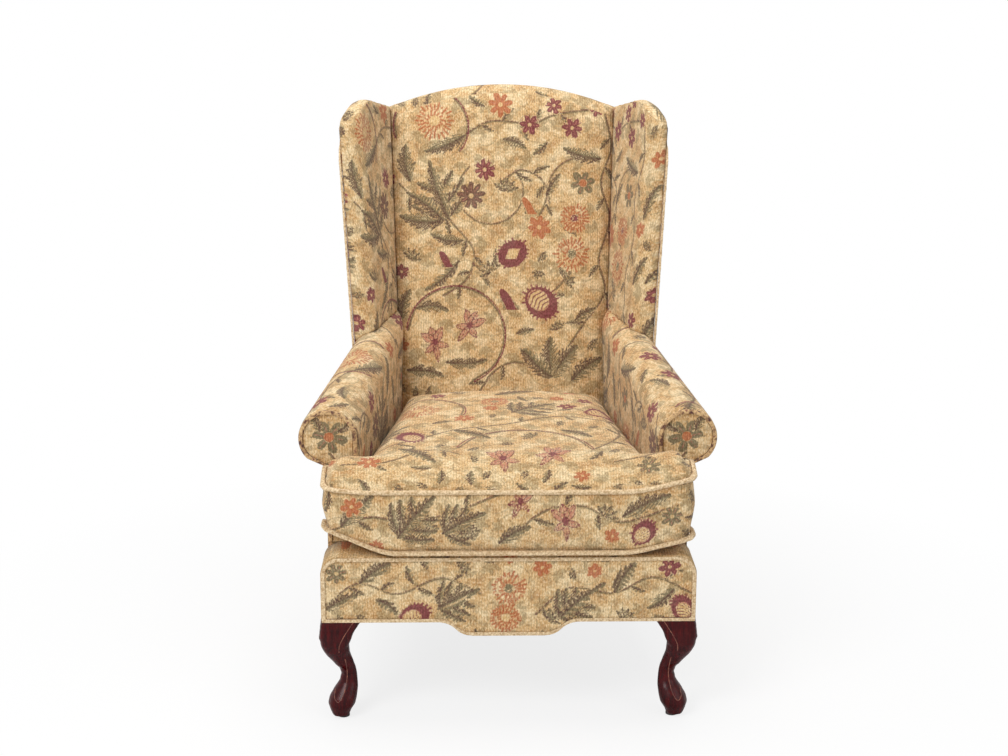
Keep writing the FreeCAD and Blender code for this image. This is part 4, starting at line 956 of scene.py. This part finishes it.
def on_arm(p, lean):
    """Up the inside of the arm, over its roll and down outside; the length runs along the arm."""
    share = (p[:, 1] - ARM_FRONT) / (ARM_REAR - ARM_FRONT)
    roll_x, roll_z, roll = (front + gain * share for front, gain in (ROLL_X, ROLL_Z, ROLL_RADIUS))
    out = np.abs(p[:, 0]) - roll_x
    above = p[:, 2] - roll_z
    over = roll_z + roll * (pi - np.arctan2(above, out))
    inner = (out < 0) & (above < 0)
    along = np.where(inner, p[:, 2], np.where(above < 0, roll_z + roll * pi - above, over))
    return np.sign(p[:, 0]) * p[:, 1] + 0.2 * np.sign(p[:, 0]), along - 0.1


def on_side(p, lean):
    return p[:, 1] * np.sign(p[:, 0]) + 0.11, p[:, 2] + 0.05


def on_top(p, lean):
    """Over the cushion's crown, and down its edges to the welt."""
    drop = np.maximum(SEAT_TOP - p[:, 2], 0)
    front = 1 - np.clip((p[:, 1] + 0.38) / 0.13, 0, 1)
    beside = np.clip((np.abs(lean[:, 0]) - 0.45) / 0.25, 0, 1)
    behind = np.clip((lean[:, 1] - 0.45) / 0.25, 0, 1)
    return p[:, 0] + np.sign(p[:, 0]) * beside * drop, p[:, 1] + behind * drop - front * (SEAT_TOP - p[:, 2])


def on_front(p, lean):
    """Up the front border, back over its top and round its sides."""
    back = np.maximum(p[:, 1] + 0.391, 0)
    beside = np.abs(lean[:, 0]) > 0.6
    return p[:, 0] + np.where(beside, np.sign(p[:, 0]) * back, 0), p[:, 2] + np.where(beside, 0, back)


def on_boxing(p, lean):
    """Round the cushion's band: the front reads across, the sides read back."""
    beside = np.maximum(p[:, 1] - BAND_FRONT, 0)
    return p[:, 0] + np.sign(p[:, 0]) * beside, p[:, 2]


def on_facing(p, lean):
    return np.abs(p[:, 0]), p[:, 2]


# Meshes

def copied(nodes):
    """One bmesh of copies of CAD nodes, their loose triangles merged."""
    bm = bmesh.new()
    for name in nodes:
        source = frame["nodes"][name]
        if source.type == "MESH":
            mesh = source.data.copy()
            mesh.transform(source.matrix_world)
            bm.from_mesh(mesh)
            bpy.data.meshes.remove(mesh)
    bmesh.ops.remove_doubles(bm, verts=bm.verts, dist=0.00002)
    return bm


def mesh_of(bm, name):
    mesh = bpy.data.meshes.new(name)
    bm.to_mesh(mesh)
    bm.free()
    return mesh


def shown(name, mesh):
    made = bpy.data.objects.new(name, mesh)
    bpy.context.scene.collection.objects.link(made)
    return made


def settled(piece):
    """Applies a piece's modifiers to its own mesh."""
    bpy.context.view_layer.update()
    graph = bpy.context.evaluated_depsgraph_get()
    mesh = bpy.data.meshes.new_from_object(piece.evaluated_get(graph))
    old = piece.data
    piece.modifiers.clear()
    piece.data = mesh
    bpy.data.meshes.remove(old)
    return piece


def outer_shell(bm):
    """Keeps the island of faces whose box is largest, and so drops closed hollows inside."""
    left = set(bm.verts)
    best, best_size = None, -1.0
    while left:
        seed = left.pop()
        island = {seed}
        edge = [seed]
        while edge:
            vert = edge.pop()
            for link in vert.link_edges:
                other = link.other_vert(vert)
                if other in left:
                    left.discard(other)
                    island.add(other)
                    edge.append(other)
        size = max(v.co.z for v in island) - min(v.co.z for v in island)
        size += max(v.co.y for v in island) - min(v.co.y for v in island)
        if size > best_size:
            best, best_size = island, size
    bmesh.ops.delete(bm, geom=[v for v in bm.verts if v not in best], context="VERTS")


def remeshed(name, bm, voxel, solid=True):
    """A closed skin over what bm holds. A solid one drops its hollows; a welt keeps each of its runs."""
    made = shown(name, mesh_of(bm, name))
    grid = made.modifiers.new("skin", "REMESH")
    grid.mode = "VOXEL"
    grid.voxel_size = voxel
    settled(made)
    if not solid:
        return made
    skin = bmesh.new()
    skin.from_mesh(made.data)
    outer_shell(skin)
    skin.to_mesh(made.data)
    skin.free()
    return made


def smoothed(made, rounds):
    """Relaxes a mesh's points, which takes off the steps of the grid and rounds its edges."""
    relax = made.modifiers.new("relax", "SMOOTH")
    relax.factor = 0.5
    relax.iterations = rounds
    return settled(made)


def refined(made):
    """Halves a mesh's steps once more, as a subdivision surface."""
    finer = made.modifiers.new("finer", "SUBSURF")
    finer.levels = 1
    finer.render_levels = 1
    return settled(made)


def piping(name, node, material, slot, body, voxel, thinner, after=None):
    """A welt cord over a CAD welt: skinned, relaxed to a round cord and drawn in to its real thickness."""
    cord = remeshed(name, copied([node]), voxel, solid=False)
    smoothed(cord, 5)
    put_back(cord.data, points_of(cord.data) - thinner * leaning(cord.data))
    if after:
        after(cord)
    return dressed(cord, material, slot, body, node)


def diced(bm, step, axes):
    """Cuts every face by planes a step apart, so that a flat panel has points for its figures."""
    low = [min(v.co[a] for v in bm.verts) for a in range(3)]
    high = [max(v.co[a] for v in bm.verts) for a in range(3)]
    for axis in axes:
        normal = Vector([1.0 if a == axis else 0.0 for a in range(3)])
        for cut in np.arange(low[axis] + step / 2, high[axis], step):
            place = Vector([cut if a == axis else 0.0 for a in range(3)])
            everything = bm.verts[:] + bm.edges[:] + bm.faces[:]
            bmesh.ops.bisect_plane(bm, geom=everything, dist=1e-6, plane_co=place, plane_no=normal)


def dressed(made, material, slot, body, *nodes):
    """Finishes a piece: its material, smooth shading, the body it rides on and the nodes it stands for."""
    made.data.materials.clear()
    made.data.materials.append(material)
    made.data.polygons.foreach_set("use_smooth", [True] * len(made.data.polygons))
    made.data.update()
    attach(made, body)
    if nodes:
        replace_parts(made, *nodes)
    return made


def cushion_swell(made, pressure, cap):
    """Blows a closed skin out with the cloth solver, and caps how far any point may move."""
    start = points_of(made.data)
    solver = made.modifiers.new("cloth", "CLOTH")
    solver.settings.effector_weights.gravity = 0
    solver.settings.use_pressure = True
    solver.settings.uniform_pressure_force = pressure
    solver.settings.quality = 4
    solver.settings.tension_stiffness = 12
    solver.settings.compression_stiffness = 12
    solver.settings.bending_stiffness = 0.5
    solver.point_cache.frame_start = 1
    solver.point_cache.frame_end = SWELL_STEPS
    scene = bpy.context.scene
    for step in range(1, SWELL_STEPS + 1):
        scene.frame_set(step)
    settled(made)
    scene.frame_set(1)
    move = points_of(made.data) - start
    length = np.linalg.norm(move, axis=1, keepdims=True)
    move *= np.minimum(1, cap / np.maximum(length, 1e-9))
    put_back(made.data, start + move)


def surface_of(made):
    return BVHTree.FromPolygons([v.co for v in made.data.vertices], [f.vertices for f in made.data.polygons])


def kept_full(made, form, proud):
    """Brings every point out to at least proud above form, so that no rail shows through."""
    p = points_of(made.data)
    for number, place in enumerate(p):
        hit, normal, _, _ = form.find_nearest(Vector(place))
        if (hit - Vector(place)).dot(normal) > -proud:
            p[number] = hit + normal * proud
    put_back(made.data, p)


def soft_piece(name, nodes, voxel=SOFT_VOXEL, rounds=SOFT_ROUNDS, proud=COVER_PROUD):
    """A soft form over CAD nodes: skinned, relaxed, held proud of the nodes' own surface and made finer."""
    made = remeshed(name, copied(nodes), voxel)
    form = surface_of(made)
    smoothed(made, rounds)
    kept_full(made, form, proud)
    return refined(made)


# The inside back

back = soft_piece("inside_back", ["inside_back_cover", "back_pad", "crest_rail"])
paint(back.data, weave_back_figures, on_back, REPEAT)
dressed(back, TAPESTRY, "floral_tapestry", "frame", "inside_back_cover", "back_pad")

# Wings, arms and their outside panels

for side, _ in SIDES:
    wing = soft_piece(
        f"wing_{side}",
        [f"inside_wing_cover_{side}", f"wing_pad_{side}", f"wing_post_{side}", f"wing_top_rail_{side}"],
    )
    paint(wing.data, weave_back_figures, on_wing, REPEAT)
    dressed(wing, TAPESTRY, "floral_tapestry", "frame", f"inside_wing_cover_{side}", f"wing_pad_{side}")

    arm = soft_piece(
        f"arm_{side}",
        [f"inside_arm_cover_{side}", f"arm_pad_{side}", f"arm_post_{side}", f"arm_rail_{side}",
         f"arm_tack_rail_{side}"],
    )
    paint(arm.data, weave_back_figures, on_arm, REPEAT)
    dressed(arm, TAPESTRY, "floral_tapestry", "frame", f"inside_arm_cover_{side}", f"arm_pad_{side}")

    for part in (f"outside_arm_cover_{side}", f"outside_wing_cover_{side}"):
        panel = copied([part])
        diced(panel, SIDE_STEP, (1, 2))
        made = shown(part.replace("_cover", "_panel"), mesh_of(panel, part))
        paint(made.data, weave_back_figures, on_side, REPEAT)
        dressed(made, TAPESTRY, "floral_tapestry", "frame", part)

    facing = copied([f"arm_front_panel_{side}"])
    diced(facing, FACING_STEP, (0, 2))
    made = shown(f"arm_front_{side}", mesh_of(facing, f"arm_front_{side}"))
    paint(made.data, weave_facing_figures, on_facing)
    dressed(made, TAPESTRY, "floral_tapestry", "frame", f"arm_front_panel_{side}")

    for part, material, slot in (
        (f"arm_front_welt_{side}", DARK_WELT, "dark_welt"),
        (f"wing_welt_{side}", SELF_WELT, "self_welt"),
    ):
        piping(part.replace("welt", "piping"), part, material, slot, "frame", WELT_VOXEL, 0.0007)

# Outside back

panel = copied(["outside_back_cover"])
diced(panel, BACK_STEP, (0, 2))
outside = shown("outside_back_panel", mesh_of(panel, "outside_back_panel"))
paint(outside.data, weave_back_figures, on_outside_back, REPEAT)
dressed(outside, TAPESTRY, "floral_tapestry", "frame", "outside_back_cover")

# Front border and its welt

panel = copied(["front_border_cover"])
diced(panel, BORDER_STEP, (0, 2))
border = shown("front_border", mesh_of(panel, "front_border"))
paint(border.data, weave_border_figures, on_front)
dressed(border, TAPESTRY, "floral_tapestry", "frame", "front_border_cover")
piping(
    "front_border_piping", "front_border_welt", SELF_WELT, "self_welt", "frame", BORDER_WELT_VOXEL, 0.0012
)

# Seat deck under the cushion

deck = soft_piece("seat_deck", ["deck_cover", "deck_pad"], DECK_VOXEL, 3, PAD_PROUD)
dressed(deck, DECK_CLOTH, "lining_cloth", "frame", "deck_cover", "deck_pad")
edge = soft_piece("front_edge_roll", ["front_edge_pad"], EDGE_ROLL_VOXEL, 4, PAD_PROUD)
dressed(edge, DECK_CLOTH, "lining_cloth", "frame", "front_edge_pad")

# Seat cushion

def eased(x, low, high):
    share = np.clip((x - low) / (high - low), 0, 1)
    return share * share * (3 - 2 * share)


def curled(made):
    """Turns the front's lower corners up, raises the right ear's top a little and the crown to the rear."""
    mesh = made.data
    p = points_of(mesh)
    front = 1 - eased(p[:, 1], -0.37, -0.26)
    low = 1 - np.clip((p[:, 2] - LOW_SEAM) / (HIGH_SEAM - LOW_SEAM), 0, 1)
    out = np.abs(p[:, 0])
    curl = np.where(p[:, 0] < 0, CURL_LEFT, CURL_RIGHT)
    p[:, 2] += front * low * (curl * eased(out, 0.2, 0.345) - 0.007)
    high = eased(p[:, 2], LOW_SEAM, HIGH_SEAM)
    p[:, 2] += front * high * 0.016 * eased(p[:, 0], 0.2, 0.33)
    ear = eased(out, 0.25, 0.33) * (p[:, 1] < -0.27)
    edge = ear * (1 - eased(p[:, 2], 0.462, 0.49))
    p[:, 2] += high * edge * (0.006 + 0.018 * eased(p[:, 1], -0.4, -0.32))
    p[:, 0] += np.sign(p[:, 0]) * ear * 0.006
    crown = eased(p[:, 2], 0.458, 0.486) * eased(p[:, 1], -0.36, -0.04) * np.clip(1 - (out / 0.27) ** 2, 0, 1)
    p[:, 2] += CROWN_RISE * crown
    put_back(mesh, p)


def sunk_for_zip(made):
    """Draws the rear band in where the zip is sewn, so that its tape and slider lie proud of the cloth."""
    (low_x, low_y, low_z), (high_x, high_y, high_z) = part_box("cushion_zip")
    p = points_of(made.data)
    beside = np.maximum(np.maximum(low_x - p[:, 0], p[:, 0] - high_x), 0)
    above = np.maximum(np.maximum(low_z - p[:, 2], p[:, 2] - high_z), 0)
    reach = 1 - eased(np.hypot(beside, above), 0.001, 0.009)
    sunk = np.minimum(p[:, 1], high_y - ZIP_PROUD)
    p[:, 1] = np.where(p[:, 1] > low_y - 0.01, p[:, 1] + (sunk - p[:, 1]) * reach, p[:, 1])
    put_back(made.data, p)


cushion = remeshed("seat_cushion", copied(["cushion_cover", "cushion_core"]), SOFT_VOXEL)
smoothed(cushion, SOFT_ROUNDS)
cushion_swell(cushion, SWELL_PRESSURE, SWELL_CAP)
refined(cushion)
curled(cushion)
sunk_for_zip(cushion)
dressed(cushion, TAPESTRY, "floral_tapestry", "cushion", "cushion_cover", "cushion_core")
seam = HIGH_SEAM + np.where(points_of(cushion.data)[:, 0] > 0.2, RIGHT_EAR_RAISE, 0.0)
upright = (np.abs(leaning(cushion.data)[:, 2]) < 0.75) & (points_of(cushion.data)[:, 2] < seam)
paint(cushion.data, weave_seat_figures, on_top, None, (weave_boxing_figures, on_boxing, upright, BAND_REPEAT))
piping("cushion_piping", "cushion_welts", SELF_WELT, "self_welt", "cushion", WELT_VOXEL, 0.0003, curled)

# Legs

# The carved scroll line on the front of each cabriole leg, as (x, z) in mm: down the knee, then round the foot.
SCROLL_LINES = (
    ((280, 199), (290, 184), (300, 168), (307, 152), (308, 138)),
    ((298, 120), (296, 96), (297, 70), (303, 48), (312, 36), (319, 42), (318, 54)),
)

# A front leg's outline seen from the front: height, inner and outer edge, in mm.
LEG_OUTLINE = (
    (4, 293, 324), (14, 289, 329), (26, 282, 332), (39, 279, 331), (56, 277, 322), (68, 278, 312), (81, 279, 309),
    (93, 281, 312), (108, 285, 323), (126, 290, 335), (146, 292, 343), (165, 283, 345), (185, 272, 344),
    (200, 264, 341),
)


def fuller_leg(leg):
    """Brings each level of a front leg to its outline, and widens its depth by the same share."""
    p = points_of(leg.data)
    side = np.sign(p[:, 0].mean())
    out = p[:, 0] * side
    heights, inner, outer = (np.array(row) * MM for row in zip(*LEG_OUTLINE))
    levels = np.linspace(p[:, 2].min(), p[:, 2].max(), 42)
    step = levels[1] - levels[0]
    rows = []
    for level in levels:
        here = np.abs(p[:, 2] - level) < step
        rows.append((out[here].min(), out[here].max(), p[here, 1].mean()))
    low, high, middle_y = (np.interp(p[:, 2], levels, column) for column in zip(*rows))
    want_low = np.interp(p[:, 2], heights, inner)
    want_high = np.interp(p[:, 2], heights, outer)
    active = eased(p[:, 2], -0.002, 0.005)
    share = 1 + active * (np.clip((want_high - want_low) / (high - low), 0.9, 1.2) - 1)
    shift = active * ((want_low + want_high) / 2 - (low + high) / 2)
    p[:, 0] = side * ((low + high) / 2 + shift + (out - (low + high) / 2) * share)
    p[:, 1] = middle_y - np.clip(shift, -0.006, 0.004) + (p[:, 1] - middle_y) * (1 + (share - 1) * 0.7)
    put_back(leg.data, p)


def carved_line(name, leg, sign, marks):
    """A fine raised line that lies on the leg's face, found by looking at the leg from the front."""
    tree = surface_of(leg)
    route = smooth_route([(sign * x * MM, z * MM) for x, z in marks], 6)
    curve = bpy.data.curves.new(name, "CURVE")
    curve.dimensions = "3D"
    curve.bevel_depth = 0.9 * MM
    curve.bevel_resolution = 2
    curve.use_fill_caps = True
    spline = curve.splines.new("POLY")
    found = []
    for x, z in route:
        hit = tree.ray_cast(Vector((x, -0.6, z)), Vector((0, 1, 0)))[0]
        if hit:
            found.append(hit)
    spline.points.add(len(found) - 1)
    for point, place in zip(spline.points, found):
        point.co = (*place, 1)
    made = bpy.data.objects.new(name, curve)
    bpy.context.scene.collection.objects.link(made)
    graph = bpy.context.evaluated_depsgraph_get()
    mesh = bpy.data.meshes.new_from_object(made.evaluated_get(graph))
    bpy.data.objects.remove(made)
    dressed(shown(name, mesh), PALE_LINE, "leg_mahogany", "frame")


for side, sign in SIDES:
    for part in (f"front_leg_{side}", f"rear_leg_{side}"):
        leg = remeshed(part.replace("leg", "leg_shaped"), copied([part]), LEG_VOXEL)
        smoothed(leg, LEG_ROUNDS)
        if part.startswith("front"):
            fuller_leg(leg)
        refined(leg)
        dressed(leg, MAHOGANY, "leg_mahogany", "frame", part)
        if part.startswith("front"):
            for number, marks in enumerate(SCROLL_LINES):
                carved_line(f"scroll_line_{number + 1}_{side}", leg, sign, marks)

# The nodes that stay take their finish

REPLACED = set()
for piece in bpy.data.objects:
    REPLACED.update(piece.get("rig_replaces", []))
for name, node in frame["nodes"].items():
    if name in REPLACED or node.type != "MESH":
        continue
    slots = [s.material.name for s in node.material_slots if s.material]
    finish = next((FINISHES[key] for key in FINISHES if any(key in s for s in slots)), FINISHES["frame_beech"])
    if not node.material_slots:
        node.data.materials.append(finish)
    for slot in node.material_slots:
        slot.material = finish

# Floor, lights and camera

floor_bm = bmesh.new()
bmesh.ops.create_grid(floor_bm, x_segments=1, y_segments=1, size=12.0)
floor = shown("studio_floor", mesh_of(floor_bm, "studio_floor"))
floor_material, floor_tree, floor_shader = new_material("pale_studio_floor", Roughness=0.9)
floor_shader.inputs["Base Color"].default_value = linear("#F4F4F4")
rays = add(floor_tree, "ShaderNodeLightPath")
floor_place = add(floor_tree, "ShaderNodeTexCoord").outputs["Object"]
reach = add(floor_tree, "ShaderNodeVectorMath", {0: floor_place}, operation="LENGTH").outputs["Value"]
fade = add(
    floor_tree,
    "ShaderNodeMapRange",
    {"Value": reach, "From Min": 0.45, "From Max": 1.3, "To Min": 0.8, "To Max": 1.0},
).outputs["Result"]
seen = arithmetic(floor_tree, "MULTIPLY", rays.outputs["Is Camera Ray"], fade)
glow = add(floor_tree, "ShaderNodeEmission", {"Color": (1, 1, 1, 1), "Strength": 1.0})
both = add(floor_tree, "ShaderNodeMixShader", {0: seen, 1: floor_shader.outputs[0], 2: glow.outputs[0]})
floor_tree.links.new(both.outputs[0], floor_tree.nodes["Material Output"].inputs["Surface"])
floor.data.materials.append(floor_material)

world = bpy.data.worlds.new("studio")
bpy.context.scene.world = world
world.use_nodes = True
sky = world.node_tree
sky.nodes.clear()
rays = add(sky, "ShaderNodeLightPath")
direct = arithmetic(sky, "MAXIMUM", rays.outputs["Is Camera Ray"], rays.outputs["Is Glossy Ray"])
direct = arithmetic(sky, "MAXIMUM", direct, rays.outputs["Is Transmission Ray"])
strength = arithmetic(sky, "MULTIPLY_ADD", direct, 0.64, 0.36)
light = add(sky, "ShaderNodeBackground", {"Color": (1, 1, 1, 1), "Strength": strength})
add(sky, "ShaderNodeOutputWorld", {"Surface": light.outputs[0]})


def softbox(name, place, aim, size, watts):
    """A square soft light that looks at aim."""
    lamp = bpy.data.lights.new(name, "AREA")
    lamp.shape = "SQUARE"
    lamp.size = size
    lamp.energy = watts
    made = bpy.data.objects.new(name, lamp)
    made.location = place
    made.rotation_euler = (Vector(aim) - Vector(place)).to_track_quat("-Z", "Y").to_euler()
    bpy.context.scene.collection.objects.link(made)


SEAT_MIDDLE = (0, 0, 0.6)
softbox("key_light", (-1.8, -2.6, 2.8), SEAT_MIDDLE, 1.6, 77)
softbox("fill_light", (2.4, -2.2, 1.8), SEAT_MIDDLE, 1.8, 15)
softbox("top_light", (0, 0.2, 3.2), (0, 0, 0.5), 1.8, 42)

camera_data = bpy.data.cameras.new("camera")
camera_data.lens = LENS_MM
camera_data.sensor_width = 36
camera_data.sensor_fit = "HORIZONTAL"
camera_data.dof.use_dof = False
camera = bpy.data.objects.new("camera", camera_data)
bpy.context.scene.collection.objects.link(camera)
ahead = Vector((sin(CAMERA_YAW) * cos(CAMERA_PITCH), cos(CAMERA_YAW) * cos(CAMERA_PITCH), -sin(CAMERA_PITCH)))
right = Vector((cos(CAMERA_YAW), -sin(CAMERA_YAW), 0))
up = right.cross(ahead)
turned_right = cos(CAMERA_ROLL) * right + sin(CAMERA_ROLL) * up
turned_up = -sin(CAMERA_ROLL) * right + cos(CAMERA_ROLL) * up
facing_way = Matrix((turned_right, turned_up, -ahead)).transposed().to_4x4()
camera.matrix_world = Matrix.Translation(CAMERA_PLACE) @ facing_way
bpy.context.scene.camera = camera
bpy.context.scene.view_settings.view_transform = "Standard"
